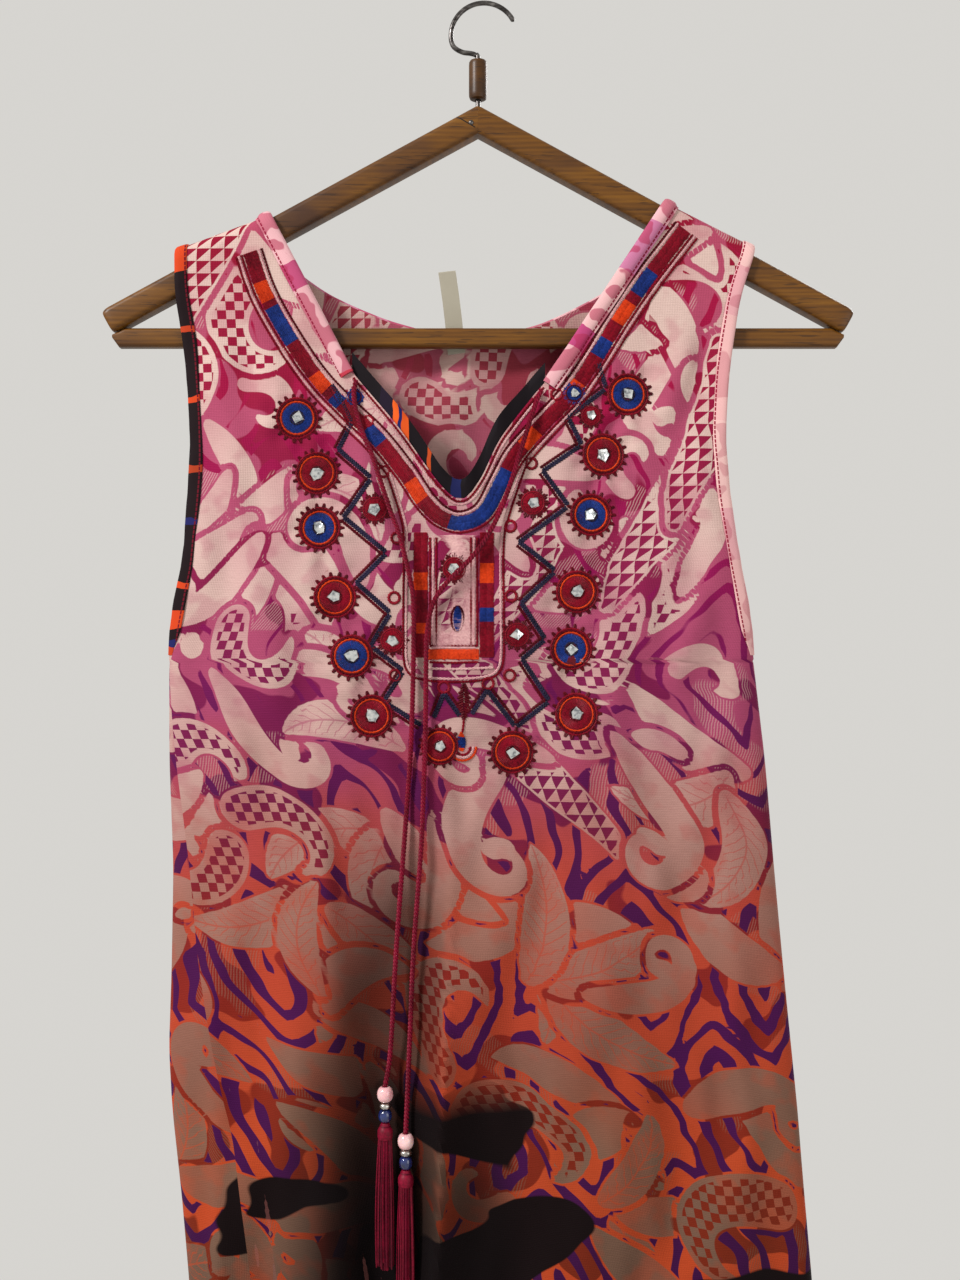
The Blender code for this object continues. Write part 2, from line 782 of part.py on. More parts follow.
def prism(name, outline, y_low, y_high, finish, smooth=0.0):
    """A flat board: an outline of (x, height) points, in millimetres, given a thickness."""
    points = [np.array([x, y_low, z]) * MM for x, z in outline]
    points += [np.array([x, y_high, z]) * MM for x, z in outline]
    count = len(outline)
    faces = [tuple(range(count)), tuple(range(count, 2 * count))[::-1]]
    for k in range(count):
        n = (k + 1) % count
        faces.append((k, k + count, n + count, n))
    return add_object(name, points, turned(points, faces), finish, smooth)


def hanger_arm(name, side, finish):
    """One sloping arm with bevelled long edges. side is -1 for left and 1 for right."""
    high = ARM_HIGH / math.cos(ARM_SLOPE)
    slope = math.tan(ARM_SLOPE)
    half, cut = ARM_HALF_THICK, ARM_CHAMFER
    end_lean = slope / 2
    section = [
        (-half, cut), (-half + cut, 0.0), (half - cut, 0.0), (half, cut),
        (half, high - cut), (half - cut, high), (-half + cut, high), (-half, high - cut),
    ]
    stations = [(GAP / MM / 2, 0.0, 1.0), (APEX_HALF_FLAT, 0.0, 1.0)]
    stations += [(ARM_END_X - short, drop, tall) for short, drop, tall in ARM_END]
    points = []
    for x, drop, tall in stations:
        for y, down in section:
            at = x - (down * end_lean if x > APEX_HALF_FLAT else 0.0)
            z = APEX_Z - slope * at - drop - down * tall
            z = min(z, APEX_FLAT_Z) if x <= APEX_HALF_FLAT else z
            points.append(np.array([side * at, y, z]) * MM)
    count, rings = len(section), len(stations)
    faces = []
    for i in range(rings - 1):
        for k in range(count):
            a, b = i * count + k, i * count + (k + 1) % count
            faces.append((a, b, b + count))
            faces.append((a, b + count, a + count))
    faces.append(tuple(range(count))[::-1])
    faces.append(tuple((rings - 1) * count + k for k in range(count)))
    add_object(name, points, turned(points, faces), finish, 25.0)


def hanger_bar(finish):
    under = APEX_Z - ARM_HIGH / math.cos(ARM_SLOPE) - TRIM_GAP / MM
    tip_z = under - math.tan(ARM_SLOPE) * BAR_TIP_X
    outline = [
        (-BAR_HALF_TOP, BAR_TOP_Z), (-BAR_TIP_X, tip_z), (-BAR_HALF_BOTTOM, BAR_BOTTOM_Z),
        (BAR_HALF_BOTTOM, BAR_BOTTOM_Z), (BAR_TIP_X, tip_z), (BAR_HALF_TOP, BAR_TOP_Z),
    ]
    prism("hanger_bar", outline, -BAR_HALF_THICK, BAR_HALF_THICK, finish)


def turned_ring(name, centre, profile, sides, finish, smooth=40.0):
    """A closed ring: a loop of (radius, height) points carried round the Z axis."""
    points = []
    for k in range(sides):
        angle = 2 * math.pi * (k + 0.5) / sides
        for radius, height in profile:
            points.append(
                np.array(centre)
                + np.array([radius * math.cos(angle), radius * math.sin(angle), height]) * MM
            )
    count = len(profile)
    faces = []
    for k in range(sides):
        for m in range(count):
            a, b = k * count + m, k * count + (m + 1) % count
            c, d = (k + 1) % sides * count + (m + 1) % count, (k + 1) % sides * count + m
            faces.append((a, b, c))
            faces.append((a, c, d))
    return add_object(name, points, turned(points, faces), finish, smooth)


def stem_sleeve(finish):
    half = (SLEEVE_TOP_Z - SLEEVE_BOTTOM_Z) / 2
    cut = SLEEVE_CHAMFER
    profile = [
        (SLEEVE_BORE, -half), (SLEEVE_RADIUS - cut, -half), (SLEEVE_RADIUS, cut - half),
        (SLEEVE_RADIUS, half - cut), (SLEEVE_RADIUS - cut, half), (SLEEVE_BORE, half),
    ]
    centre = (0.0, 0.0, (SLEEVE_TOP_Z + SLEEVE_BOTTOM_Z) / 2 * MM)
    turned_ring("stem_sleeve", centre, profile, 8, finish, 25.0)


def tube(name, points, radius, resolution, finish):
    """A round tube along the points, in metres, with closed ends."""
    curve = bpy.data.curves.new(name, "CURVE")
    curve.dimensions = "3D"
    curve.bevel_depth = radius
    curve.bevel_resolution = resolution
    curve.use_fill_caps = True
    spline = curve.splines.new("POLY")
    spline.points.add(len(points) - 1)
    for held, place in zip(spline.points, points):
        held.co = (*place, 1.0)
    curve.materials.append(finish)
    obj = bpy.data.objects.new(name, curve)
    bpy.context.collection.objects.link(obj)
    return obj


def hook_wire(finish):
    cx, cz = HOOK_CENTRE
    route = []
    for degrees in np.linspace(HOOK_FREE_END, HOOK_ARC_ENDS, 16):
        angle = math.radians(degrees)
        route.append((cx + HOOK_RADIUS * math.cos(angle), cz + HOOK_RADIUS * math.sin(angle)))
    route += HOOK_NECK
    route.append((0.0, APEX_FLAT_Z + GAP / MM))
    line = smooth_line(route, 36)
    line[line[:, 1] < HOOK_NECK[-1][1], 0] = 0.0
    tube("hook_wire", [(x * MM, 0.0, z * MM) for x, z in line], WIRE_RADIUS * MM, 2, finish)


def cord_line(panel, route, beads_at):
    """The cord's middle line in metres, in front of the cloth and down to its beads."""
    places = [panel.seat(x, z, out) for x, z, out in route]
    last = places[-1]
    places.append(np.array([beads_at[0] * MM, last[1] - 1.0 * MM, beads_at[1] * MM]))
    return smooth_line(places, CORD_POINTS)


def bead_string(side, start, finishes):
    """The beads below the cord's visible end. Returns where the tassel starts."""
    top = np.array(start)
    for (name, radius, tall, bore) in BEADS:
        profile = [(bore, -tall / 2)]
        for step in range(1, 6):
            angle = math.pi * (step / 6 - 0.5)
            profile.append((bore + (radius - bore) * math.cos(angle), tall / 2 * math.sin(angle)))
        profile.append((bore, tall / 2))
        centre = top - np.array([0.0, 0.0, tall / 2 * MM])
        turned_ring(f"{name}_{side}", centre, profile, 10, finishes[name])
        top = top - np.array([0.0, 0.0, tall * MM + GAP])
    return top


def strand_places():
    """Where each strand crosses the tassel's foot, as an angle and a share of its spread."""
    places = []
    for ring, count in enumerate(TASSEL_RINGS):
        for k in range(count):
            places.append((2 * math.pi * (k + 0.35 * ring) / count, ring / (len(TASSEL_RINGS) - 1)))
    return places


def tassel(name, top, finish):
    """A bound head with its strands fused into its underside."""
    head = [
        (0.0, 0.0), (TASSEL_NECK_RADIUS, 0.0), (TASSEL_NECK_RADIUS, -TASSEL_NECK_LONG),
        (TASSEL_HEAD_RADIUS, -TASSEL_HEAD_STARTS), (TASSEL_HEAD_RADIUS, -TASSEL_HEAD_LONG),
    ]
    sides = 12
    points = [np.array([0.0, 0.0, 0.0])]
    for radius, height in head[1:]:
        for k in range(sides):
            angle = 2 * math.pi * k / sides
            points.append(np.array([radius * math.cos(angle), radius * math.sin(angle), height]))
    faces = [(0, 1 + k, 1 + (k + 1) % sides) for k in range(sides)]
    for ring in range(len(head) - 2):
        for k in range(sides):
            a, b = 1 + ring * sides + k, 1 + ring * sides + (k + 1) % sides
            faces.append((a, a + sides, b + sides))
            faces.append((a, b + sides, b))
    rim = [1 + (len(head) - 2) * sides + k for k in range(sides)]
    faces.append(tuple(rim[::-1]))
    placed = [np.array(top) + point * MM for point in points]
    body = add_object(name, placed, turned(placed, faces), finish)
    strands_points, strands_faces = [], []
    for angle, share in strand_places():
        base = len(strands_points)
        for down, spread, thick in STRAND_STATIONS:
            reach = share * (TASSEL_SPREAD * spread - STRAND_RADIUS)
            if down < TASSEL_HEAD_LONG:
                reach = share * (TASSEL_HEAD_RADIUS - STRAND_RADIUS - STRAND_INSET)
            for k in range(3):
                turn = angle + 2 * math.pi * k / 3
                offset = STRAND_RADIUS * thick
                strands_points.append(np.array(top) + MM * np.array([
                    reach * math.cos(angle) + offset * math.cos(turn),
                    reach * math.sin(angle) + offset * math.sin(turn),
                    -down,
                ]))
        rings = len(STRAND_STATIONS)
        for ring in range(rings - 1):
            for k in range(3):
                a, b = base + ring * 3 + k, base + ring * 3 + (k + 1) % 3
                strands_faces.append((a, a + 3, b + 3))
                strands_faces.append((a, b + 3, b))
        strands_faces.append((base, base + 1, base + 2))
        last = base + (rings - 1) * 3
        strands_faces.append((last + 2, last + 1, last))
    strands = add_object(f"{name}_strands", strands_points,
                         turned(strands_points, strands_faces), finish)
    strands.hide_render = True
    strands.display_type = "WIRE"
    fused = body.modifiers.new("fuse_strands", "BOOLEAN")
    fused.operation = "UNION"
    fused.solver = "EXACT"
    fused.object = strands


def neck_loop(finish):
    """A ribbon folded at its top, standing at the back of the neck."""
    top, foot = np.array(LOOP_TOP), np.array(LOOP_FOOT)
    along = unit(foot - top)
    side = np.array([-along[1], along[0]]) * LOOP_WIDTH / 2
    outline = [tuple(top - side), tuple(top + side), tuple(foot + side), tuple(foot - side)]
    prism("neck_loop", outline, LOOP_Y, LOOP_Y + 2 * LOOP_LAYER, finish)


def nearest_column(panel, x):
    return int(np.abs(panel.outer[0, :, 0] / MM - x).argmin())


def build():
    clear_scene()
    print_cloth = material("print_cloth", (0.55, 0.12, 0.10))
    back_cloth = material("back_cloth", (0.45, 0.13, 0.13))
    orange_binding = material("orange_binding", (0.62, 0.16, 0.05))
    pink_binding = material("pink_binding", (0.72, 0.45, 0.46))
    casing_pink = material("casing_pink", (0.75, 0.52, 0.52))
    facing_dark = material("facing_dark", (0.06, 0.04, 0.06))
    crimson = material("crimson_stitch", (0.42, 0.02, 0.07), 0.55)
    pale_panel = material("pale_panel", (0.66, 0.38, 0.42))
    blue = material("navy_stitch", (0.05, 0.07, 0.22), 0.55)
    ribbon = material("ribbon", (0.45, 0.42, 0.36), 0.45)
    wood = material("wood", (0.22, 0.10, 0.035), 0.45)
    steel = material("dark_wire", (0.16, 0.16, 0.17), 0.35, 1.0)
    cord_red = material("cord_red", (0.40, 0.03, 0.09), 0.6)
    bead_finishes = {
        "pearl": material("pearl", (0.75, 0.42, 0.45), 0.2),
        "ring": material("silver", (0.65, 0.62, 0.58), 0.25, 1.0),
        "bead": material("navy_bead", (0.03, 0.05, 0.16), 0.15),
    }

    front = Panel("front_panel", FRONT_NECK, FRONT_NECK_CELLS, FRONT_STRAP_CELLS, True, print_cloth)
    back = Panel("back_panel", BACK_NECK, BACK_NECK_CELLS, BACK_STRAP_CELLS, False, back_cloth)
    armhole_binding("armhole_binding_left", front, back, True, orange_binding)
    armhole_binding("armhole_binding_right", front, back, False, pink_binding)
    corner_left = nearest_column(front, FRONT_NECK[1][0])
    corner_right = nearest_column(front, FRONT_NECK[-2][0])
    neck_casing(front, back, corner_left, corner_right, casing_pink)
    notch_facing(front, corner_left, corner_right, facing_dark)
    flat_strip("neck_band", smooth_line(BAND_ROUTE, 44), BAND_WIDTH, front, BAND_THICK, crimson)
    inset = FRAME_WIDTH / 2
    for side, x in (("left", FRAME_LEFT_X), ("right", FRAME_RIGHT_X)):
        route = [(x, z) for z in np.linspace(FRAME_TOP_Z, FRAME_BOTTOM_Z, 8)]
        flat_strip(f"placket_{side}", route, FRAME_WIDTH, front, BAND_THICK, crimson)
    middle_left = FRAME_LEFT_X + inset + FRAME_CLEAR
    middle_right = FRAME_RIGHT_X - inset - FRAME_CLEAR
    foot_z = FRAME_BOTTOM_Z + inset
    route = [(x, foot_z) for x in np.linspace(middle_left, middle_right, 4)]
    flat_strip("placket_foot", route, FRAME_WIDTH, front, BAND_THICK, orange_binding)
    panel_x = (middle_left + middle_right) / 2
    panel_foot = foot_z + inset + FRAME_CLEAR
    panel_top = FRAME_TOP_Z - PANEL_BELOW_FRAME_TOP
    route = [(panel_x, z) for z in np.linspace(panel_top, panel_foot, 5)]
    flat_strip("placket_panel", route, middle_right - middle_left, front,
               PANEL_THICK, pale_panel)

    for side, table in (("left", ROSETTES_LEFT), ("right", ROSETTES_RIGHT)):
        for number, (x, height, scale) in enumerate(table, 1):
            finish = blue if number % 2 else crimson
            patch(f"rosette_{side}_{number}", x, height, ROSETTE_RADIUS * scale,
                  ROSETTE_POINTS, ROSETTE_NOTCH, front, finish)
    for number, (x, height, scale) in enumerate(FLOWERS, 1):
        patch(f"flower_{number}", x, height, FLOWER_RADIUS * scale, FLOWER_PETALS,
              FLOWER_NOTCH, front, crimson)

    neck_loop(ribbon)
    hanger_arm("hanger_arm_left", -1, wood)
    hanger_arm("hanger_arm_right", 1, wood)
    hanger_bar(wood)
    stem_sleeve(wood)
    hook_wire(steel)

    for side, route, beads_at in (
        ("left", CORD_LEFT, BEADS_LEFT),
        ("right", CORD_RIGHT, BEADS_RIGHT),
    ):
        line = cord_line(front, route, beads_at)
        foot = bead_string(side, line[-1], bead_finishes)
        line = np.concatenate([line, [foot + np.array([0.0, 0.0, GAP])]])
        tube(f"cord_{side}", line, CORD_DIAMETER / 2, 2, cord_red)
        tassel(f"tassel_{side}", foot - np.array([0.0, 0.0, GAP]), cord_red)


build()
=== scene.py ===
"""The look of a sleeveless tunic top with a notch neck, on a wooden hanger.

Metres, +Z up, +X to the viewer's right, and the front of the cloth faces -Y.
Shapes are worked out in millimetres and made at MM.
"""

import math

import bpy
import numpy as np
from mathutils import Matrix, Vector
from mathutils.bvhtree import BVHTree


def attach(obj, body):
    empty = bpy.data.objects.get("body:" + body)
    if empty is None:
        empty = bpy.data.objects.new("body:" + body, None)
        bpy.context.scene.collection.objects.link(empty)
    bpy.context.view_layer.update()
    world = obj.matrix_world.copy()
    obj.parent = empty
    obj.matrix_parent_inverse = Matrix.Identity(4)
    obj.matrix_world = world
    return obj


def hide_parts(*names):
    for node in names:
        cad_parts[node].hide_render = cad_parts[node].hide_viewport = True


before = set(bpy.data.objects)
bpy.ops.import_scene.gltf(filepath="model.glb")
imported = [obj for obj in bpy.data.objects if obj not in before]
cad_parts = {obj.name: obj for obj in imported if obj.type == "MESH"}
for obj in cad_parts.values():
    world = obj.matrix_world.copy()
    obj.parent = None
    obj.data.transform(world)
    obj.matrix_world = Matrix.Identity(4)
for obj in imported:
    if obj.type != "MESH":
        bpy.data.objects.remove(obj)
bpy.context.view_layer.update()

MM = 0.001

# The cloth's form, the same as the solids'.
HEM_Z = -905.0
UNDERARM_Z = -380.0
YOKE_Z = -302.0
SECTION_POWER = 0.6
SHOULDER_DEPTH = 9.6
ARCH_DROP = 10.0
ARCH_POWER = 2.6
DRAPE_STARTS = 165.0
DRAPE_FULL = 262.0
FOLD_EDGE_FADE = (0.05, 0.5)
CLOTH_STEP = 2.3
CLOTH_THICK = 0.7
EDGE_ROUNDING = (-9.0, -4.5, 0.0, 4.5, 9.0)
# The finer relief: where it fades in from the sides and from the top, how deep the creases are,
# the ripples' lengths and heights, and the ring that each patch draws in: radius, width, height.
SOFT_SIDE_FADE = (0.1, 0.6)
SOFT_TOP_FADE = (165.0, 210.0)
CREASE_DEPTH = 2.1
RIPPLES = ((95, 0.8), (70, 0.7), (52, 0.6), (38, 0.5), (27, 0.36), (19, 0.18))
PUCKER_RADIUS, PUCKER_WIDTH, PUCKER_HEIGHT = 17.0, 4.2, 0.9
# The panels' grids: the straps' length along the shoulder and down to the yoke, how its rows
# crowd at the arch over the hanger, and where even rows start, as shares of the strap.
SHOULDER_LONG, STRAP_LONG = 54.0, 180.0
ARCH_ROWS = (0.0, 0.0008, 0.003, 0.007, 0.0125, 0.02, 0.03, 0.042)
EVEN_ROWS_START = 0.056
# The neck's straight runs have more points than even steps would give, crowded at the shoulder.
NECK_EXTRA, NECK_CROWDING = 9, 1.9
NECK_MIDDLE_SHARE = 0.62

# height, left edge, right edge, front depth, back depth.
BODY = [
    (-120, -173.5, 160.0, 9, 9),
    (-142, -173.1, 159.2, 9, 9),
    (-169, -173.0, 150.0, 10, 10),
    (-190, -169.5, 146.5, 11, 11),
    (-215, -166.5, 143.0, 12, 12),
    (-252, -164.3, 141.0, 14, 13),
    (-285, -165.5, 143.5, 16, 14),
    (-322, -168.0, 149.0, 18, 15),
    (-345, -173.5, 154.0, 19, 16),
    (-380, -179.0, 159.5, 20, 17),
    (-440, -178.8, 166.5, 21, 18),
    (-500, -176.5, 171.5, 22, 19),
    (-560, -177.5, 177.0, 23, 20),
    (-605, -179.0, 181.5, 24, 21),
    (-640, -177.0, 185.0, 25, 22),
    (-690, -171.5, 189.0, 26, 23),
    (-741, -167.0, 193.5, 27, 24),
    (-905, -160.0, 203.0, 29, 26),
]
# height, how far the panels' edge lies in from the section's own edge, left and right.
EDGES = [
    (-120, 15, 15), (-252, 14, 14), (-285, 13, 13), (-322, 10, 10), (-345, 6, 6), (-372, 1, 1),
    (-380, 0, 0), (-420, 3, 3), (-552, 17, 14), (-603, 28, 20), (-649, 36, 25), (-741, 38, 30),
    (-905, 38, 32),
]
SHOULDER_LEFT = ((-173.1, -142.3), (-120.8, -122.9))
SHOULDER_RIGHT = ((108.6, -115.7), (159.2, -141.2))
FRONT_NECK = [
    (-120.8, -122.9), (-72.4, -214.9), (-44.8, -248.2), (-21.8, -279.8), (-9.2, -288.5),
    (1.2, -277.0), (12.7, -254.0), (29.9, -231.0), (38.5, -221.2), (108.6, -115.7),
]
BACK_NECK = [
    (-120.8, -122.9), (-113.0, -148.8), (-85.0, -168.0), (-45.8, -184.0), (-10.0, -190.0),
    (30.5, -185.8), (70.0, -168.0), (97.0, -148.8), (108.6, -115.7),
]

# x at its top, x at the hem, height where it starts, height where it is full,
# half width, how far it stands out. The first eight and five are the solids' own.
FRONT_FOLDS = [
    (-56, -60, -450, -720, 22, -15), (-78, -92, -480, -700, 15, 7), (-14, -26, -430, -660, 11, 11),
    (26, 18, -420, -700, 17, -6), (66, 62, -350, -640, 22, 5), (108, 118, -400, -680, 16, -6),
    (140, 158, -400, -640, 12, 4), (-126, -122, -420, -700, 12, -6),
    (-14, -28, -440, -580, 3.2, 4.0), (-104, -110, -500, -760, 6, 1.6),
    (44, 36, -460, -720, 7, 1.8), (90, 96, -520, -800, 8, -2.0), (-150, -146, -470, -700, 5.5, 3.4),
    (4, -2, -560, -780, 6, -1.6),
]
BACK_FOLDS = [
    (-104, -112, -300, -680, 20, 7), (-58, -62, -360, -700, 18, -7), (-12, -8, -330, -660, 20, 8),
    (38, 46, -380, -700, 20, -7), (92, 104, -300, -680, 22, 7), (-82, -86, -420, -700, 6, 1.8),
    (14, 20, -380, -640, 7, -1.8), (66, 74, -460, -760, 6, 1.6), (132, 146, -420, -700, 8, -2.0),
]
# Creases: x and height of both ends, half width, how far out.
FRONT_CREASES = [
    (-160, -300, -112, -398, 9, 1.5), (-156, -345, -118, -470, 8, -1.4),
    (-140, -205, -108, -290, 8, 1.1), (-128, -180, -100, -236, 5, -0.8),
    (138, -300, 96, -420, 9, 1.5), (146, -350, 100, -500, 9, -1.5), (118, -190, 96, -262, 7, 1.1),
    (130, -172, 116, -262, 5, -0.8), (-98, -420, -84, -560, 7, 1.5),
    (-44, -430, -52, -520, 6, -1.4), (36, -440, 30, -560, 7, -1.3), (74, -420, 78, -540, 8, 1.4),
    (-2, -436, -8, -500, 5, 1.2), (110, -560, 132, -700, 9, 1.4), (-140, -560, -128, -700, 8, 1.3),
]
BACK_CREASES = [
    (-120, -160, -70, -260, 9, 1.3), (110, -160, 60, -260, 9, 1.3),
    (-150, -300, -110, -430, 9, 1.4), (140, -300, 104, -430, 9, 1.4),
    (-30, -210, -36, -330, 8, -1.2), (30, -210, 40, -340, 8, 1.2), (-70, -440, -60, -600, 8, 1.4),
    (80, -460, 84, -620, 8, -1.4),
]
BAND_ROUTE = [
    (-131.0, -146.0), (-122.5, -170.0), (-108.0, -196.0), (-92.0, -219.0), (-75.5, -236.5),
    (-58.0, -253.5), (-42.0, -273.5), (-31.0, -290.0), (-21.0, -299.5), (-9.0, -302.5),
    (3.5, -296.5), (13.0, -279.5), (22.0, -263.0), (36.0, -247.0), (51.5, -230.5), (66.0, -209.5),
    (80.5, -186.0), (96.0, -163.0), (110.5, -144.0), (119.0, -133.0),
]
# x, height and share of the full radius.
ROSETTES_LEFT = [
    (-103.5, -242.0, 1.0), (-92.1, -273.5, 1.0), (-90.4, -305.0, 1.0), (-81.3, -344.5, 1.0),
    (-71.6, -378.0, 1.0), (-60.3, -412.0, 1.0), (-21.6, -429.0, 0.86),
]
ROSETTES_RIGHT = [
    (86.0, -228.0, 1.0), (71.5, -263.0, 1.0), (64.3, -297.5, 1.0), (56.3, -341.5, 1.0),
    (52.9, -374.0, 1.0), (55.8, -411.0, 1.0), (19.4, -432.5, 1.0),
]
FLOWERS = [
    (-58.5, -294.5, 1.0), (-48.5, -369.0, 1.0), (64.5, -241.0, 0.8), (31.3, -291.0, 1.0),
    (22.2, -366.0, 1.0), (-13.3, -328.5, 0.95),
]
CORD_LEFT = [
    (-69.8, -220.2, 2.2), (-71.0, -228.0, 3.4), (-69.6, -238.0, 3.8), (-64.9, -253.1, 3.8),
    (-61.0, -261.5, 3.8), (-57.0, -273.4, 3.8), (-53.1, -285.3, 3.8), (-49.1, -297.1, 3.8),
    (-44.6, -309.0, 3.8), (-39.8, -328.0, 3.8), (-36.6, -346.3, 3.8), (-36.4, -380.2, 3.8),
    (-37.6, -425.4, 3.8), (-39.4, -453.7, 3.8), (-41.8, -487.6, 5.0), (-46.0, -544.1, 6.5),
    (-49.4, -600.6, 8.0),
]
CORD_RIGHT = [
    (36.2, -226.2, 2.2), (33.0, -233.5, 3.6), (29.0, -246.0, 4.2), (24.0, -262.0, 4.2),
    (18.5, -280.0, 4.2), (12.0, -297.0, 4.2), (3.5, -313.0, 4.2), (-7.0, -326.0, 4.4),
    (-17.5, -336.5, 4.4), (-25.5, -348.5, 4.2), (-28.6, -364.0, 4.0), (-29.2, -380.2, 3.8),
    (-29.6, -425.4, 3.8), (-30.5, -453.7, 3.8), (-32.0, -487.6, 4.5), (-36.2, -544.1, 6.0),
    (-38.6, -600.6, 7.5),
]
BEADS_LEFT = (-52.4, -621.0)
BEADS_RIGHT = (-40.6, -646.5)


def column_of(table, index, height):
    """A column of the table read at these heights, rounded where its lines meet."""
    rows = sorted(table)
    heights = [row[0] for row in rows]
    values = [row[index] for row in rows]
    reads = [np.interp(np.asarray(height) + shift, heights, values) for shift in EDGE_ROUNDING]
    return sum(reads) / len(reads)


def smoothstep(value, start, end):
    """0 up to start, 1 from end on, and smooth between them."""
    share = np.clip((value - start) / (end - start), 0.0, 1.0)
    return share * share * (3 - 2 * share)


def unit(vectors):
    """The vectors at length 1."""
    length = np.linalg.norm(vectors, axis=-1, keepdims=True)
    return vectors / np.maximum(length, 1e-9)


def along_of(path):
    """How far along the path each of its points lies."""
    steps = np.linalg.norm(np.diff(path, axis=0), axis=1)
    return np.concatenate([[0], np.cumsum(steps)])


class Sections:
    """The garment's closed outline at each of many heights."""

    def __init__(self, height):
        height = np.asarray(height, float)
        above = height > UNDERARM_Z
        inset_left = np.maximum(column_of(EDGES, 1, height), 0.0)
        inset_right = np.maximum(column_of(EDGES, 2, height), 0.0)
        self.left = column_of(BODY, 1, height) - np.where(above, inset_left, 0.0)
        self.right = column_of(BODY, 2, height) + np.where(above, inset_right, 0.0)
        self.middle = (self.left + self.right) / 2
        self.half = (self.right - self.left) / 2
        self.front = column_of(BODY, 3, height)
        self.back = column_of(BODY, 4, height)
        left = np.arccos(np.clip(1.0 - inset_left / self.half, -1.0, 1.0))
        right = np.arccos(np.clip(1.0 - inset_right / self.half, -1.0, 1.0))
        self.front_range = (left, math.pi + np.where(above, -right, right))
        self.back_range = (np.where(above, -left, left), right - math.pi)

    def range_of(self, is_front):
        """The first and last angle of the front's or back's part."""
        return self.front_range if is_front else self.back_range


def shoulder_height(x):
    """The height of the line over the hanger's arm on this side, at x."""
    heights = []
    for outer, inner in (SHOULDER_LEFT, SHOULDER_RIGHT[::-1]):
        slope = (inner[1] - outer[1]) / (inner[0] - outer[0])
        heights.append(outer[1] + slope * (x - outer[0]))
    return np.where(x < 0, heights[0], heights[1])


def fold_offset(folds, x, height):
    """The long folds: each grows from its start down to the height where it is full."""
    total = np.zeros_like(x)
    for top_x, hem_x, start, full, half_width, out in folds:
        along = np.maximum((height - start) / (HEM_Z - start), 0.0)
        centre = top_x + (hem_x - top_x) * along
        share = smoothstep(-height, -start, -full)
        total += out * share * np.exp(-(((x - centre) / half_width) ** 2))
    return total


def crease_offset(creases, x, height):
    """Soft creases that rise along their middle and die away at both ends."""
    total = np.zeros_like(x)
    for x1, z1, x2, z2, half_width, out in creases:
        step = np.array([x2 - x1, z2 - z1], float)
        long = np.linalg.norm(step)
        ahead = step / long
        along = ((x - x1) * ahead[0] + (height - z1) * ahead[1]) / long
        bow = half_width * 0.7 * np.sin(math.pi * np.clip(along, 0, 1))
        across = -(x - x1) * ahead[1] + (height - z1) * ahead[0] - bow
        swell = np.sin(math.pi * np.clip(along, 0, 1)) ** 1.5
        total += CREASE_DEPTH * out * swell * np.exp(-((across / half_width) ** 2))
    return total


def ripple_offset(x, height, seed):
    """Small unevenness of hanging cloth, as a sum of a few slanting waves."""
    rng = np.random.default_rng(seed)
    total = np.zeros_like(x)
    for long, high in RIPPLES:
        for _ in range(2):
            lean = rng.uniform(-0.6, 0.6)
            phase = rng.uniform(0, 2 * math.pi)
            total += high * np.sin(2 * math.pi * (x + lean * height) / long + phase)
    return total


def pucker_offset(places, x, height):
    """The cloth drawn in round each stitched patch."""
    total = np.zeros_like(x)
    for number, (px, pz, scale) in enumerate(places):
        reach = np.hypot(x - px, height - pz)
        turn = np.arctan2(height - pz, x - px)
        ring = np.exp(-(((reach - PUCKER_RADIUS * scale) / PUCKER_WIDTH) ** 2))
        total += PUCKER_HEIGHT * ring * np.sin(turn * (6 + number % 3) + number * 1.7)
    return total


def cloth(height, angle):
    """Points of the garment's outer surface."""
    section = Sections(height)
    x = section.middle - section.half * np.cos(angle)
    sine = np.sin(angle)
    on_front = sine > 0
    facing = np.where(on_front, 1.0, -1.0)
    depth = np.where(on_front, section.front, section.back)
    hangs = smoothstep(-height, DRAPE_STARTS, DRAPE_FULL)
    out = SHOULDER_DEPTH * (1 - hangs) + depth * np.abs(sine) ** SECTION_POWER * hangs
    fade = smoothstep(np.abs(sine), *FOLD_EDGE_FADE)
    soft_fade = smoothstep(np.abs(sine), *SOFT_SIDE_FADE) * smoothstep(-height, *SOFT_TOP_FADE)
    for front, folds, creases, seed in (
        (True, FRONT_FOLDS, FRONT_CREASES, 11),
        (False, BACK_FOLDS, BACK_CREASES, 12),
    ):
        here = on_front == front
        out += here * fade * fold_offset(folds, x, height)
        soft = crease_offset(creases, x, height) + ripple_offset(x, height, seed)
        if front:
            soft = soft + pucker_offset(ROSETTES_LEFT + ROSETTES_RIGHT, x, height)
        out += here * soft_fade * soft
    drop = np.clip((shoulder_height(x) - height) / ARCH_DROP, 0.0, 1.0)
    arch = (1.0 - (1.0 - drop) ** ARCH_POWER) ** (1.0 / ARCH_POWER)
    out = np.where(-height < DRAPE_STARTS, out * arch, out)
    return np.stack([x, -facing * out, height], axis=-1)


def smooth_line(points, count):
    """A smooth curve through the points, read at even steps."""
    points = np.array(points, float)
    padded = np.concatenate([[2 * points[0] - points[1]], points, [2 * points[-1] - points[-2]]])
    fine = []
    for i in range(len(points) - 1):
        a, b, c, d = padded[i : i + 4]
        for t in np.linspace(0, 1, 12, endpoint=False):
            fine.append(
                0.5 * (2 * b + (c - a) * t + (2 * a - 5 * b + 4 * c - d) * t**2
                       + (3 * b - a - 3 * c + d) * t**3)
            )
    fine.append(points[-1])
    fine = np.array(fine)
    along = along_of(fine)
    at = np.linspace(0, along[-1], count)
    return np.stack([np.interp(at, along, fine[:, k]) for k in range(points.shape[1])], axis=1)


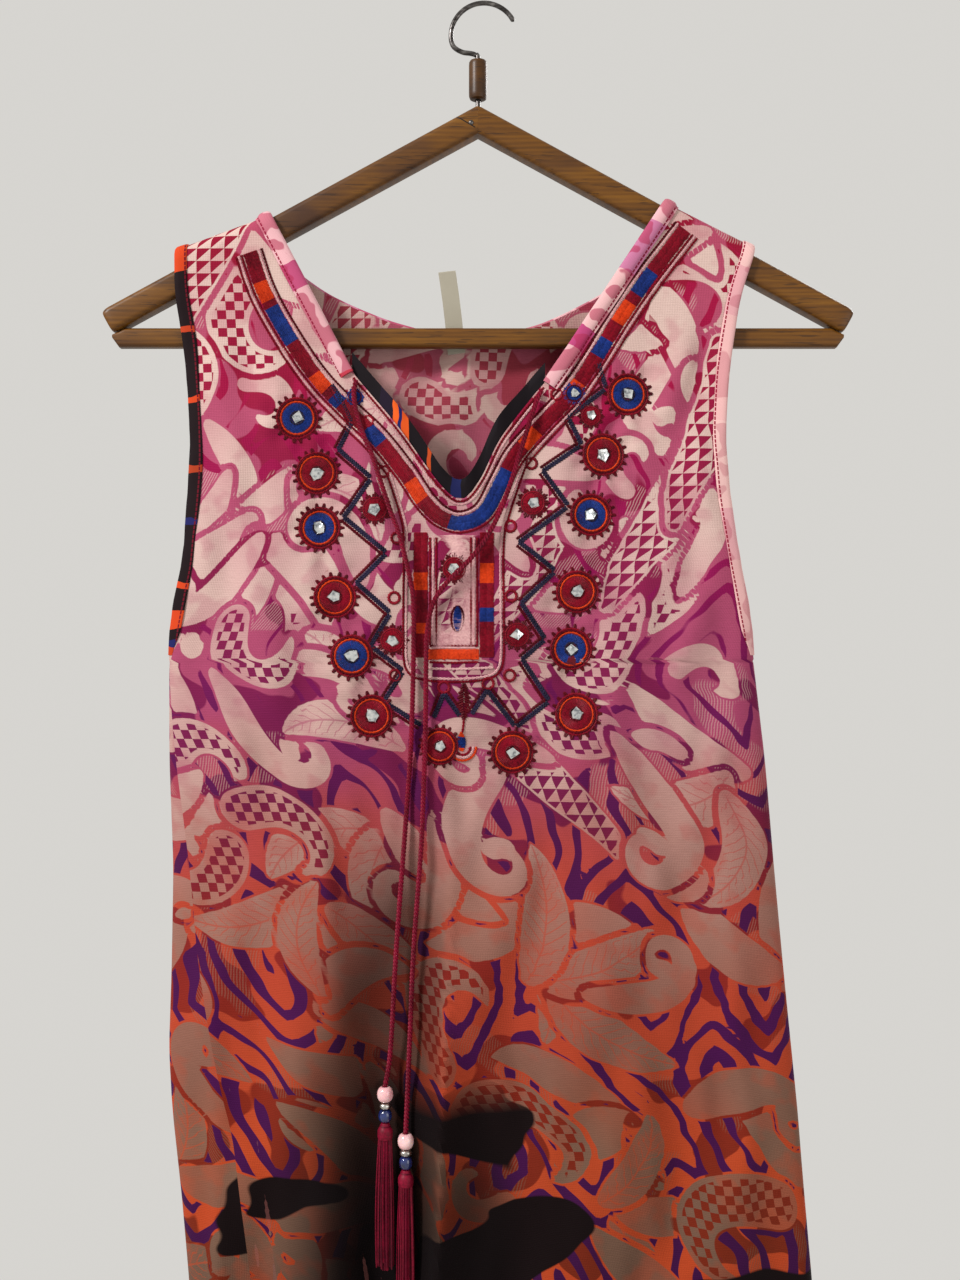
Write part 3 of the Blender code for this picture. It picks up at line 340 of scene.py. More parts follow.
def straight(start, end, count, power=1.0):
    """Points on a straight line, crowded at its start when power is over 1."""
    shares = np.linspace(0.0, 1.0, count) ** power
    return np.array(start) + (np.array(end) - np.array(start)) * shares[:, None]


def top_edge(neck):
    """A panel's top edge from the left shoulder to the right one, and where its neck starts."""
    shoulder_count = round(SHOULDER_LONG / CLOTH_STEP)
    left = straight(SHOULDER_LEFT[0], SHOULDER_LEFT[1], shoulder_count)
    right = straight(SHOULDER_RIGHT[0], SHOULDER_RIGHT[1], shoulder_count)
    down_count = round((neck[1][0] - neck[0][0]) / CLOTH_STEP) + NECK_EXTRA
    down = straight(neck[0], neck[1], down_count, NECK_CROWDING)
    up_count = round((neck[-1][0] - neck[-2][0]) / CLOTH_STEP) + NECK_EXTRA
    up = straight(neck[-1], neck[-2], up_count, NECK_CROWDING)[::-1]
    span = neck[-2][0] - neck[1][0]
    middle = smooth_line(neck[1:-1], 2 * round(span / CLOTH_STEP * NECK_MIDDLE_SHARE) + 1)
    points = np.concatenate([left, down[1:], middle[1:], up[1:], right[1:]])
    if len(points) % 2 == 0:
        points = np.concatenate([left, down[1:], middle[1:], up[1:], right[2:]])
    corner_left = len(left) + len(down) - 2
    corner_right = corner_left + len(middle) - 1
    return points, len(left) - 1, corner_left, corner_right


def panel_heights(top):
    """The height of every point of the panel's grid, from its top edge to its hem."""
    straps = round((1 - EVEN_ROWS_START) * STRAP_LONG / (CLOTH_STEP * 1.15))
    shares = [*ARCH_ROWS, *np.linspace(EVEN_ROWS_START, 1.0, straps)]
    heights = [top[:, 1] + (YOKE_Z - top[:, 1]) * share for share in shares]
    count = round((YOKE_Z - HEM_Z) / CLOTH_STEP)
    count += (len(shares) + count + 1) % 2
    for height in np.linspace(YOKE_Z, HEM_Z, count + 1)[1:]:
        heights.append(np.full(len(top), height))
    return np.array(heights)


def grid_normals(grid, facing):
    """The normals of a grid of points, turned to the side that its panel faces."""
    across = np.gradient(grid, axis=1)
    down = np.gradient(grid, axis=0)
    normals = unit(np.cross(across, down))
    middle = normals[len(grid) // 2, grid.shape[1] // 2, 1]
    return normals * (-1 if middle * facing > 0 else 1)


def add_object(name, points, faces, materials, smooth=40.0, kinds=None):
    """A piece of the part's one body. Edges sharper than smooth stay sharp."""
    mesh = bpy.data.meshes.new(name)
    mesh.from_pydata((np.asarray(points, float) * MM).tolist(), [], faces)
    for finish in materials if isinstance(materials, (list, tuple)) else [materials]:
        mesh.materials.append(finish)
    if kinds is not None:
        mesh.polygons.foreach_set("material_index", np.asarray(kinds, np.int32))
    if smooth:
        mesh.shade_smooth()
        mesh.set_sharp_from_angle(angle=math.radians(smooth))
    mesh.update()
    obj = bpy.data.objects.new(name, mesh)
    bpy.context.scene.collection.objects.link(obj)
    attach(obj, "root")
    return obj


def take_place(obj, slot, *nodes):
    """Hides the solids that the piece replaces. The slot is not used."""
    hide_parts(*nodes)


class Shell:
    """A cloth panel as a fine grid of points, with its normals and its place on the flat cut."""

    def __init__(self, neck, is_front):
        self.is_front = is_front
        self.facing = 1.0 if is_front else -1.0
        top, self.strap, self.corner_left, self.corner_right = top_edge(neck)
        heights = panel_heights(top)
        section = Sections(top[:, 1])
        start, end = section.range_of(is_front)
        angle = np.arccos(np.clip((section.middle - top[:, 0]) / section.half, -1.0, 1.0))
        shares = (self.facing * angle - start) / (end - start)
        shares[0], shares[-1] = 0.0, 1.0
        start, end = Sections(heights).range_of(is_front)
        self.outer = cloth(heights, start + (end - start) * shares[None, :])
        self.normals = grid_normals(self.outer, self.facing)
        columns = self.outer.shape[1]
        strap = [*range(self.strap + 1), *range(columns - self.strap - 1, columns)]
        self.normals[0, strap] = unit(self.normals[0, strap] * np.array([0.3, 0.0, 1.0]))
        self.across = self.flat_across()
        points = self.outer.reshape(-1, 3)
        quads = grid_faces(*self.outer.shape[:2])
        self.tree = BVHTree.FromPolygons([Vector(p) for p in points], quads)

    def flat_across(self):
        """How far each point lies from the middle of the cut, along the cloth."""
        steps = np.linalg.norm(np.diff(self.outer[:, :, :2], axis=1), axis=2)
        along = np.concatenate([np.zeros((len(steps), 1)), np.cumsum(steps, axis=1)], axis=1)
        middle = int(np.abs(self.outer[-1, :, 0]).argmin())
        return along - along[:, middle : middle + 1]

    def seat(self, x, height, out=0.0):
        """The point of the outer surface seen from straight ahead, moved out along its normal."""
        start = Vector((x, -200.0 * self.facing, height))
        place, normal, _, _ = self.tree.ray_cast(start, Vector((0, self.facing, 0)))
        if place is None:
            place, normal, _, _ = self.tree.find_nearest(Vector((x, -10.0 * self.facing, height)))
        if normal.y * self.facing > 0:
            normal = -normal
        return np.array(place) + np.array(normal) * out


def grid_faces(rows, columns, offset=0):
    """The quads between a grid's points."""
    a = (np.arange(rows - 1)[:, None] * columns + np.arange(columns - 1)[None, :]).ravel() + offset
    return np.stack([a, a + 1, a + columns + 1, a + columns], axis=1).tolist()


def rim_of(rows, columns):
    """The grid's outline as a loop of (row, column)."""
    loop = [(0, j) for j in range(columns)]
    loop += [(i, columns - 1) for i in range(1, rows)]
    loop += [(rows - 1, j) for j in range(columns - 2, -1, -1)]
    loop += [(i, 0) for i in range(rows - 2, 0, -1)]
    return loop


def shell_mesh(shell):
    """A closed thin body: the fine outer face, and an inner one with half as many rows."""
    outer = shell.outer
    rows, columns = outer.shape[:2]
    inner = (outer - shell.normals * CLOTH_THICK)[::2, ::2]
    points = np.concatenate([outer.reshape(-1, 3), inner.reshape(-1, 3)])
    fine = grid_faces(rows, columns)
    base = rows * columns
    coarse = [face[::-1] for face in grid_faces(*inner.shape[:2], base)]
    faces = fine + coarse
    kinds = [0] * len(fine) + [1] * len(coarse)
    loop = rim_of(rows, columns)
    inner_columns = inner.shape[1]
    for k in range(0, len(loop), 2):
        a, b, c = loop[k], loop[(k + 1) % len(loop)], loop[(k + 2) % len(loop)]
        fa, fb, fc = (i * columns + j for i, j in (a, b, c))
        ca, cc = (base + i // 2 * inner_columns + j // 2 for i, j in (a, c))
        faces += [(fb, fa, ca), (fc, fb, cc), (fb, ca, cc)]
        kinds += [1, 1, 1]
    return points, faces, kinds


def linear(code):
    """The shader's own values for a colour written as six digits."""
    values = [int(code[i : i + 2], 16) / 255 for i in (0, 2, 4)]
    return tuple(v / 12.92 if v < 0.04045 else ((v + 0.055) / 1.055) ** 2.4 for v in values)


class Shading:
    """A material whose nodes are added one by one."""

    def __init__(self, name, **shader):
        self.material = bpy.data.materials.new(name)
        self.material.use_nodes = True
        self.nodes = self.material.node_tree.nodes
        self.links = self.material.node_tree.links
        self.shader = self.nodes["Principled BSDF"]
        for socket, value in shader.items():
            self.shader.inputs[socket.replace("_", " ")].default_value = value

    def feed(self, socket, value):
        """Gives a socket another node's output, a colour code or a number."""
        if isinstance(value, bpy.types.NodeSocket):
            self.links.new(value, socket)
        elif isinstance(value, str):
            socket.default_value = (*linear(value), 1.0)
        else:
            socket.default_value = value

    def add(self, kind, inputs=None, output=0, **settings):
        """Adds a node and returns one of its outputs."""
        node = self.nodes.new(kind)
        for name, value in settings.items():
            setattr(node, name, value)
        for name, value in (inputs or {}).items():
            self.feed(node.inputs[name], value)
        return node.outputs[output]

    def maths(self, operation, a, b=0.0, c=0.0):
        """One step of arithmetic between numbers and other nodes' outputs."""
        return self.add("ShaderNodeMath", {0: a, 1: b, 2: c}, operation=operation)

    def times(self, a, b):
        return self.maths("MULTIPLY", a, b)

    def slide(self, value, low, high, at_low=0.0, at_high=1.0):
        """Goes evenly from at_low to at_high while value goes from low to high."""
        return self.add("ShaderNodeMapRange", {"Value": value, 1: low, 2: high, 3: at_low,
                                               4: at_high})

    def mix(self, share, a, b, blend="MIX"):
        """Colour a, going over to colour b with share."""
        node = self.nodes.new("ShaderNodeMix")
        node.data_type = "RGBA"
        node.blend_type = blend
        self.feed(node.inputs[0], share)
        self.feed(node.inputs[6], a)
        self.feed(node.inputs[7], b)
        return node.outputs[2]

    def ramp(self, value, stops, linear_steps=True):
        """Colours by value, from (place, colour) rows."""
        node = self.nodes.new("ShaderNodeValToRGB")
        node.color_ramp.interpolation = "LINEAR" if linear_steps else "CONSTANT"
        elements = node.color_ramp.elements
        while len(elements) > 1:
            elements.remove(elements[-1])
        elements[0].position = stops[0][0]
        elements[0].color = (*linear(stops[0][1]), 1.0)
        for place, code in stops[1:]:
            elements.new(place).color = (*linear(code), 1.0)
        self.feed(node.inputs[0], value)
        return node.outputs[0]

    def attribute(self, name):
        """A value that is stored on the piece's points."""
        return self.add("ShaderNodeAttribute", attribute_name=name, output=2)

    def place(self, scale=(1, 1, 1), turn=(0, 0, 0), source="Object"):
        """The place on the piece, or on the flat cut with source UV, turned and scaled."""
        coordinates = self.nodes.new("ShaderNodeTexCoord").outputs[source]
        return self.add("ShaderNodeMapping", {"Vector": coordinates, "Rotation": turn,
                                              "Scale": scale})

    def noise(self, vector, scale, detail=3.0, rough=0.5):
        return self.add("ShaderNodeTexNoise", {"Vector": vector, "Scale": scale,
                                               "Detail": detail, "Roughness": rough})

    def window(self, value, low, high, soft):
        """1 where value is between low and high, with soft edges."""
        return self.times(self.slide(value, low - soft, low + soft), self.below(value, high, soft))

    def below(self, value, limit, soft):
        """1 where value is below the limit, with a soft edge."""
        return self.slide(value, limit - soft, limit + soft, 1.0, 0.0)

    def above(self, value, limit, soft):
        """1 where value is above the limit, with a soft edge."""
        return self.slide(value, limit - soft, limit + soft)

    def bump(self, height, strength, distance=0.0004):
        """Fine relief from a height."""
        self.feed(self.shader.inputs["Normal"],
                  self.add("ShaderNodeBump", {"Height": height, "Strength": strength,
                                              "Distance": distance}))

    def colour(self, value):
        """Sets the base colour and returns the finished material."""
        self.feed(self.shader.inputs["Base Color"], value)
        return self.material


# The print's height on the cloth: where it starts, and how far it runs down to the hem.
PRINT_TOP, PRINT_TALL = -115.0, 790.0
# height, ground, its patches, its figures, its stripes.
PRINT = [
    (-115, "A2425A", "86102A", "C8AEA4", "960F38"),
    (-230, "A24662", "8A1436", "C8ABA2", "92103C"),
    (-330, "A04664", "7E1C44", "C4A69E", "84124C"),
    (-420, "963E5E", "6C1844", "B6938C", "5A1248"),
    (-470, "983C40", "641638", "A47C74", "48103E"),
    (-520, "A43C2A", "7A2020", "906458", "42103F"),
    (-600, "A63E26", "7E2416", "805648", "420E44"),
    (-660, "AC4222", "742414", "745646", "3E0E40"),
    (-741, "A63E1E", "6A2411", "644A3C", "360C38"),
    (-905, "5A1C0C", "3A100A", "2A1D1A", "1C0620"),
]
# How a figure is filled.
PLAIN, CHECKED, TOOTHED, VEINED = 0.0, 1.0, 2.0, 3.0
FIGURE_GAP = 3.6
UPPER = ["scroll", "drop", "scroll", "comma", "band", "scroll", "drop", "comma", "scroll", "leaf"]
LOWER = ["leaf", "scroll", "leaf", "comma", "leaf", "drop", "leaf", "scroll"]
# How many upright pointed ovals the stripes echo, and how far apart they are.
RING_ROWS, RING_COLUMNS = 10, 5
RING_APART = (95.0, 88.0)
RING_POINT = 24.0
STRIPE_PITCH = 14.0
# Where the rows of figures start, and their left end and width on the flat cut.
PRINT_FROM, PRINT_LEFT, PRINT_WIDE = -112.0, -215, 440
# The figures' spacing high up and low down, between these heights, and the rows' share of it.
UPPER_PITCH, LOWER_PITCH = 44, 69
PITCH_GROWS = (400, 540)
ROW_SHARE = 0.88
# How far round a figure's own box its gap and its edge are worked out.
FIGURE_REACH = 42


def curled(long, turn_at, half_width_at, count=40):
    """A line of this length that turns as it goes, with its half widths."""
    t = np.linspace(0, 1, count)
    turn = turn_at(t)
    step = long / (count - 1)
    middle = np.cumsum(np.stack([np.cos(turn), np.sin(turn)], 1) * step, axis=0)
    return middle - middle[count // 3], half_width_at(t)


def figure(name, size, rng):
    """A figure's middle line, its half widths, and how its inside is filled."""
    if name == "scroll":
        end = rng.uniform(6.6, 8.0)
        middle, wide = curled(
            4.3 * size, lambda t: -0.9 * t + end * t**2.7,
            lambda t: size * (0.03 + 0.36 * np.sin(math.pi * t**0.75) ** 0.9 * (1 - 0.45 * t)))
        wide[-3:] = size * 0.18
        return middle, wide, PLAIN
    if name == "comma":
        return *curled(2.0 * size, lambda t: 4.2 * t**1.6,
                       lambda t: size * (0.05 + 0.3 * (1 - t) ** 0.6 * t**0.25)), PLAIN
    if name == "leaf":
        bend = rng.uniform(0.3, 0.9)
        middle, wide = curled(2.6 * size, lambda t: bend * (t - 0.5) * 2,
                              lambda t: size * 0.42 * np.sin(math.pi * t**0.85) ** 0.8 + 0.2, 18)
        return middle, wide, VEINED if rng.uniform() < 0.35 else PLAIN
    if name == "band":
        return *curled(4.2 * size, lambda t: 0.35 * np.sin(4 * t),
                       lambda t: size * 0.5 * np.sin(math.pi * (0.1 + 0.8 * t)) ** 0.8, 20), TOOTHED
    middle, wide = curled(2.9 * size, lambda t: -0.4 + 3.4 * t**1.6,
                          lambda t: size * (0.62 * (1 - t) ** 0.75 * (t + 0.12) ** 0.2 + 0.03), 24)
    return middle, wide, CHECKED


def draw_figure(field, flat, middle, wide, kind):
    """Lays a figure over the others, with a gap all round it."""
    low, high = middle.min(axis=0) - FIGURE_REACH, middle.max(axis=0) + FIGURE_REACH
    near = np.flatnonzero(((flat > low) & (flat < high)).all(axis=1))
    if not len(near):
        return
    start, step = middle[:-1], np.diff(middle, axis=0)
    long = np.linalg.norm(step, axis=1)
    from_start = flat[near, None] - start[None]
    share = np.clip((from_start * step).sum(2) / long**2, 0.0, 1.0)
    offset = from_start - share[..., None] * step
    away = np.linalg.norm(offset, axis=2)
    edge = away - (wide[:-1] + (wide[1:] - wide[:-1]) * share)
    best = edge.argmin(axis=1)
    rows = np.arange(len(near))
    edge = edge[rows, best]
    side = np.sign(step[best, 0] * offset[rows, best, 1] - step[best, 1] * offset[rows, best, 0])
    along = np.concatenate([[0], np.cumsum(long)])[best] + (share * long)[rows, best]
    old = field["edge"][near]
    on_top = (edge < FIGURE_GAP / 2) | (edge < old)
    field["edge"][near] = np.minimum(np.maximum(old, FIGURE_GAP - edge), edge)
    kept = near[on_top]
    field["kind"][kept] = kind
    field["across"][kept] = (side * away[rows, best])[on_top]
    field["along"][kept] = along[on_top]


def figure_places(rng):
    """The figures' places in staggered rows: x, height, spacing, and how far that has grown."""
    places = []
    height, row = PRINT_FROM, 0
    while height > HEM_Z - 20:
        share = float(smoothstep(-height, *PITCH_GROWS))
        pitch = UPPER_PITCH + (LOWER_PITCH - UPPER_PITCH) * share
        for k in range(int(PRINT_WIDE / pitch) + 1):
            places.append((PRINT_LEFT + pitch * (k + 0.5 * (row % 2)) + rng.uniform(-6, 6),
                           height + rng.uniform(-6, 6), pitch, share))
        height -= pitch * ROW_SHARE
        row += 1
    return places


def lay_figure(field, flat, place, number, rng):
    """Draws a figure, or a leaf's three blades, turned at random at its place."""
    x, z, pitch, share = place
    names = LOWER if rng.uniform() < share else UPPER
    name = names[number % len(names)]
    size = pitch * rng.uniform(0.54, 0.7) * (1 - 0.3 * share)
    turn = rng.uniform(0, 2 * math.pi)
    if name == "band":
        turn = math.pi / 2 + rng.uniform(-0.3, 0.3)
    flip = rng.choice([-1.0, 1.0])
    blades = 3 if name == "leaf" else 1
    for blade in range(blades):
        middle, wide, kind = figure(name, size, rng)
        spin = turn
        if blades > 1:
            spin += (blade - 1) * 0.95
            middle = middle + np.array([size * 0.95, 0.0])
        spun = np.array([[math.cos(spin), -math.sin(spin)], [math.sin(spin), math.cos(spin)]])
        placed = (middle * np.array([1.0, flip])) @ spun.T + np.array([x, z])
        draw_figure(field, flat, placed, wide, kind)


def ring_distances(flat, rng):
    """How far each point lies from the nearest of the upright pointed ovals' middles."""
    nearest = np.full(len(flat), 200.0)
    for row in range(RING_ROWS):
        for k in range(RING_COLUMNS):
            x = -190 + RING_APART[0] * (k + 0.5 * (row % 2)) + rng.uniform(-18, 18)
            z = -120 - RING_APART[1] * row + rng.uniform(-14, 14)
            reach = np.hypot(np.abs(flat[:, 0] - x) + RING_POINT, (flat[:, 1] - z) * 0.9)
            nearest = np.minimum(nearest, reach)
    return nearest


def print_fields(flat, seed):
    """The print on the flat cut: figures laid over each other, larger and fewer lower down."""
    rng = np.random.default_rng(seed)
    count = len(flat)
    field = {"edge": np.full(count, 40.0), "kind": np.zeros(count), "across": np.zeros(count),
             "along": np.zeros(count)}
    places = figure_places(rng)
    for number in rng.permutation(len(places)):
        lay_figure(field, flat, places[number], number, rng)
    field["rings"] = ring_distances(flat, rng)
    return field


def ground_colour(look, flat, tone, edge):
    """The dyed ground with its patches, its hatching and the stripes that echo the ovals."""
    ground, patch, paint, stripe = (
        look.ramp(tone, [((PRINT_TOP - row[0]) / PRINT_TALL, row[i]) for row in PRINT])
        for i in (1, 2, 3, 4)
    )
    colour = look.mix(look.above(look.noise(flat, 26.0, 1.0), 0.56, 0.006), ground, patch)
    hatch = look.add("ShaderNodeTexWave", {"Vector": look.place((1, 1, 1), (0, 0, 0.5), "UV"),
                                           "Scale": 210.0, "Distortion": 2.0}, output=1)
    open_ground = look.above(edge, 1.3, 0.2)
    hatched = look.times(look.above(look.noise(flat, 19.0, 1.0), 0.57, 0.01),
                         look.times(open_ground, 0.45))
    colour = look.mix(look.times(look.above(hatch, 0.6, 0.1), hatched), colour, paint)
    phase = look.maths("MULTIPLY_ADD", look.noise(flat, 34.0, 1.0), STRIPE_PITCH,
                       look.attribute("rings"))
    wave = look.maths("SINE", look.times(phase, 2 * math.pi / STRIPE_PITCH))
    low_down = look.slide(tone, 0.37, 0.5, 0.8, 0.3)
    limit = look.maths("MULTIPLY_ADD", look.noise(flat, 28.0, 1.0), 2.4,
                       look.maths("SUBTRACT", low_down, 1.2))
    stripes = look.below(look.maths("SUBTRACT", limit, wave), 0.0, 0.06)
    return look.mix(look.times(stripes, open_ground), colour, stripe), ground, patch, paint


def figure_colour(look, flat, edge, ground, patch, paint):
    """The pale figures: darker at their root, streaked, and veined, checked or toothed."""
    kind, across, along = (look.attribute(name) for name in ("kind", "across", "along"))
    pale = look.mix(look.slide(along, 0.0, 42.0, 0.42, 0.0), paint, ground)
    streaks = look.noise(look.place((1, 1, 1), (0, 0, 0.4), "UV"), 48.0, 2.0)
    pale = look.mix(look.times(look.above(streaks, 0.55, 0.05), 0.28), pale, ground)
    slant = look.maths("SUBTRACT", along, look.maths("ABSOLUTE", across))
    vein = look.below(look.maths("PINGPONG", slant, 3.2), 0.42, 0.2)
    vein = look.times(vein, look.below(edge, -1.6, 0.2))
    veined = look.times(look.above(kind, VEINED - 0.5, 0.05),
                        look.maths("MAXIMUM", look.window(across, -0.55, 0.55, 0.2), vein))
    pale = look.mix(look.times(veined, 0.55), pale, ground)
    check = look.add("ShaderNodeTexChecker", {"Vector": flat, "Scale": 195.0}, output=1)
    cell = look.add("ShaderNodeSeparateXYZ", {0: look.place((125, 139, 1), source="UV")})
    tooth = look.maths("GREATER_THAN", look.maths("FRACT", cell.node.outputs[1]),
                       look.maths("FRACT", cell))
    for filling, marks, margin in ((CHECKED, check, -3.0), (TOOTHED, tooth, -1.4)):
        marks = look.times(marks, look.window(kind, filling - 0.4, filling + 0.4, 0.05))
        pale = look.mix(look.times(marks, look.below(edge, margin, 0.2)), pale, patch)
    return pale


def cloud_cover(look, flat, fall):
    """Where the near black clouds lie: low down, and most of all round the middle."""
    long_flat = look.place((0.62, 1.25, 1), source="UV")
    puffs = look.add("ShaderNodeTexVoronoi", {"Vector": long_flat, "Scale": 52.0},
                     feature="SMOOTH_F1")
    spread = look.maths("MULTIPLY_ADD", puffs, -0.17, look.noise(long_flat, 17.0, 0.4))
    across_cloth = look.add("ShaderNodeSeparateXYZ", {0: flat})
    from_middle = look.maths("ABSOLUTE", look.maths("ADD", across_cloth, -0.008))
    spread = look.maths("ADD", spread, look.slide(from_middle, 0.035, 0.09, 0.08, -0.08))
    cloud = look.above(look.maths("MULTIPLY_ADD", fall, 1.2, spread), 1.37, 0.006)
    return look.times(cloud, look.above(fall, 0.645, 0.015))


def print_material(name, is_inside):
    """The printed cloth: a dyed ground, pale figures, clouds, and dark dye with painted shade over
    a plain weave.
    """
    look = Shading(name, Roughness=0.7, Sheen_Weight=0.03, Sheen_Roughness=0.4,
                   Specular_IOR_Level=0.06)
    fall, edge = look.attribute("fall"), look.attribute("edge")
    flat = look.place(source="UV")
    drift = look.maths("MULTIPLY_ADD", look.noise(flat, 14.0, 2.0), 0.10, -0.05)
    tone = look.maths("ADD", fall, drift)
    colour, ground, patch, paint = ground_colour(look, flat, tone, edge)
    pale = figure_colour(look, flat, edge, ground, patch, paint)
    colour = look.mix(look.below(edge, 0.0, 0.22), colour, pale)
    colour = look.mix(cloud_cover(look, flat, fall), colour, "110708")
    # Dark dye and painted shade from the front's table darken the colour towards near black.
    colour = look.mix(look.attribute("shade"), colour, "0A0405")
    if is_inside:
        colour = look.mix(0.3, colour, "8A5450")
    weft, warp = (
        look.add("ShaderNodeTexWave", {"Vector": flat, "Scale": 320.0, "Distortion": 0.6},
                 output=1, bands_direction=way)
        for way in "XY"
    )
    slub = look.noise(look.place((1, 12, 1), source="UV"), 160.0, 2.0)
    colour = look.mix(look.times(slub, 0.4), colour, "B8A8A6", "MULTIPLY")
    look.bump(look.maths("MULTIPLY_ADD", slub, 0.8, look.maths("ADD", weft, warp)), 0.35, 0.0002)
    return look.colour(colour)


def thread_material(name, dark, light, shine=0.45):
    """Stitched thread: fine strands whose colour varies a little."""
    look = Shading(name, Roughness=shine, Sheen_Weight=0.03, Sheen_Roughness=0.3,
                   Specular_IOR_Level=0.16)
    fine = look.noise(look.place(), 900.0, 2.0)
    broad = look.noise(look.place(), 90.0, 2.0)
    share = look.maths("MULTIPLY_ADD", fine, 0.5, look.times(broad, 0.5))
    look.bump(fine, 0.4, 0.0002)
    return look.colour(look.ramp(share, [(0.3, dark), (0.7, light)]))


def speckled(name, scale, dark, light, **shader):
    """A plain material whose colour varies a little."""
    look = Shading(name, **shader)
    return look.colour(look.ramp(look.noise(look.place(), scale), [(0.3, dark), (0.7, light)]))


THREADS = [
    thread_material("crimson_thread", "46040F", "8C0E24"),
    thread_material("deep_crimson_thread", "2A0209", "620818"),
    thread_material("navy_thread", "0A1238", "203A86"),
    thread_material("orange_thread", "941E06", "D8461A"),
    thread_material("pink_thread", "A87078", "D8B2AE"),
    thread_material("charcoal_thread", "08080F", "2E2842", 0.22),
]
# The threads by the first letter of their colour: crimson, deep, navy, orange, pink, charcoal.
C, D, N, O, P, K = range(len(THREADS))


class Stitches:
    """Stitches and pads gathered into one mesh. A stitch is a small ridge with two tips."""

    def __init__(self):
        self.starts, self.ends, self.ups, self.sizes, self.kinds = [], [], [], [], []
        self.points, self.faces, self.face_kinds = [], [], []

    def add(self, start, end, up, wide, high, kind):
        """Notes a stitch. kind is its thread."""
        self.starts.append(start)
        self.ends.append(end)
        self.ups.append(up)
        self.sizes.append((wide, high))
        self.kinds.append(kind)

    def pad(self, points, faces, kind):
        """Notes a body that lies under stitches."""
        base = len(self.points)
        self.points.extend(points)
        self.faces.extend(tuple(base + i for i in face) for face in faces)
        self.face_kinds.extend([kind] * len(faces))

    def mesh(self):
        """All points, faces and each face's thread."""
        start, end = np.array(self.starts), np.array(self.ends)
        ahead = end - start
        up = unit(np.array(self.ups))
        side = unit(np.cross(ahead, up))
        wide, high = np.array(self.sizes).T[:, :, None]
        rings = []
        for share in (0.14, 0.86):
            middle = start + ahead * share
            rings += [middle - side * wide / 2, middle + up * high, middle + side * wide / 2]
        points = np.stack([start, *rings, end], axis=1).reshape(-1, 3)
        pattern = np.array([
            (0, 1, 2), (0, 2, 3), (0, 3, 1), (1, 4, 5), (1, 5, 2), (2, 5, 6), (2, 6, 3),
            (3, 6, 4), (3, 4, 1), (7, 5, 4), (7, 6, 5), (7, 4, 6),
        ])
        faces = (np.arange(len(start))[:, None, None] * 8 + pattern[None] + len(self.points))
        kinds = np.repeat(self.kinds, len(pattern))
        points = np.concatenate([np.array(self.points).reshape(-1, 3), points])
        faces = [*self.faces, *faces.reshape(-1, 3).tolist()]
        return points, faces, np.concatenate([np.array(self.face_kinds, int), kinds])


def lathe(profile, sides, centre):
    """A closed ring or solid: (radius, height) points carried round the Z axis."""
    angle = 2 * math.pi * np.arange(sides) / sides
    rings = []
    for radius, height in profile:
        ring = np.stack([radius * np.cos(angle), radius * np.sin(angle),
                         np.full(sides, height)], 1)
        rings.append(ring + np.array(centre))
    points = np.concatenate(rings)
    count = len(profile)
    faces = []
    for m in range(count):
        for k in range(sides):
            n = (k + 1) % sides
            a, b = m * sides + k, m * sides + n
            c, d = (m + 1) % count * sides + n, (m + 1) % count * sides + k
            faces.append((a, b, c, d))
    return points, faces


def sweep(path, sides, ups, profile):
    """A profile of (along side, along up) points carried down a path. Each may vary per ring."""
    rings = []
    for i, place in enumerate(path):
        shape = profile[i] if isinstance(profile, list) and np.ndim(profile[0]) == 2 else profile
        shape = np.asarray(shape, float)
        rings.append(place + sides[i] * shape[:, :1] + ups[i] * shape[:, 1:2])
    count = len(rings[0])
    points = np.concatenate(rings)
    faces = []
    for i in range(len(rings) - 1):
        for k in range(count):
            a, b = i * count + k, i * count + (k + 1) % count
            faces.append((a, b, b + count, a + count))
    faces.append(tuple(range(count))[::-1])
    faces.append(tuple((len(rings) - 1) * count + k for k in range(count)))
    return points, turned(points, faces)


def turned(points, faces):
    """The faces, turned so that they point out of the closed body."""
    points = np.asarray(points, float)
    total = 0.0
    for face in faces:
        for b, c in zip(face[1:-1], face[2:]):
            total += np.linalg.det(points[[face[0], b, c]])
    return [tuple(face)[::-1] for face in faces] if total < 0 else faces


def tangents(path):
    """The way ahead at each point of the path."""
    return unit(np.gradient(np.asarray(path, float), axis=0))


def joined(points, faces, more_points, more_faces):
    """Adds a mesh to the lists of points and faces."""
    faces.extend([tuple(len(points) + i for i in face) for face in more_faces])
    points.extend(np.asarray(more_points).tolist())


front = Shell(FRONT_NECK, True)
back = Shell(BACK_NECK, False)

# The camera stands where the photo was taken from. Its place is in metres, its lens in mm.
CAMERA_PLACE = (0.00116, -0.80, -0.3689)
LENS, SENSOR_WIDTH = 38.7, 36.0
camera_data = bpy.data.cameras.new("camera")
camera_data.lens = LENS
camera_data.sensor_width = SENSOR_WIDTH
camera = bpy.data.objects.new("camera", camera_data)
camera.location = CAMERA_PLACE
camera.rotation_euler = (math.radians(90), 0, 0)
bpy.context.scene.collection.objects.link(camera)
bpy.context.scene.camera = camera

# The two cords, with their beads and tassels. A cord's strands end inside its tassel.
BEAD_GAP = 0.35
IN_TASSEL = 30.0
TASSEL_LONG = 82.0
TASSEL_THREADS, THREAD_RADIUS = 110, 0.42
THREAD_POINTS = 9
WINDINGS = 5
STRANDS, STRAND_RADIUS, STRAND_OFFSET = 3, 0.8, 0.72
ROPE_PITCH, STEPS_A_TURN = 6.5, 9
TASSEL_HEAD = [(0.3, 0.0), (2.2, -0.2), (2.6, -1.0), (2.6, -1.9), (3.6, -2.9), (4.3, -4.4),
               (4.4, -7.4), (4.1, -9.0), (0.3, -9.2)]


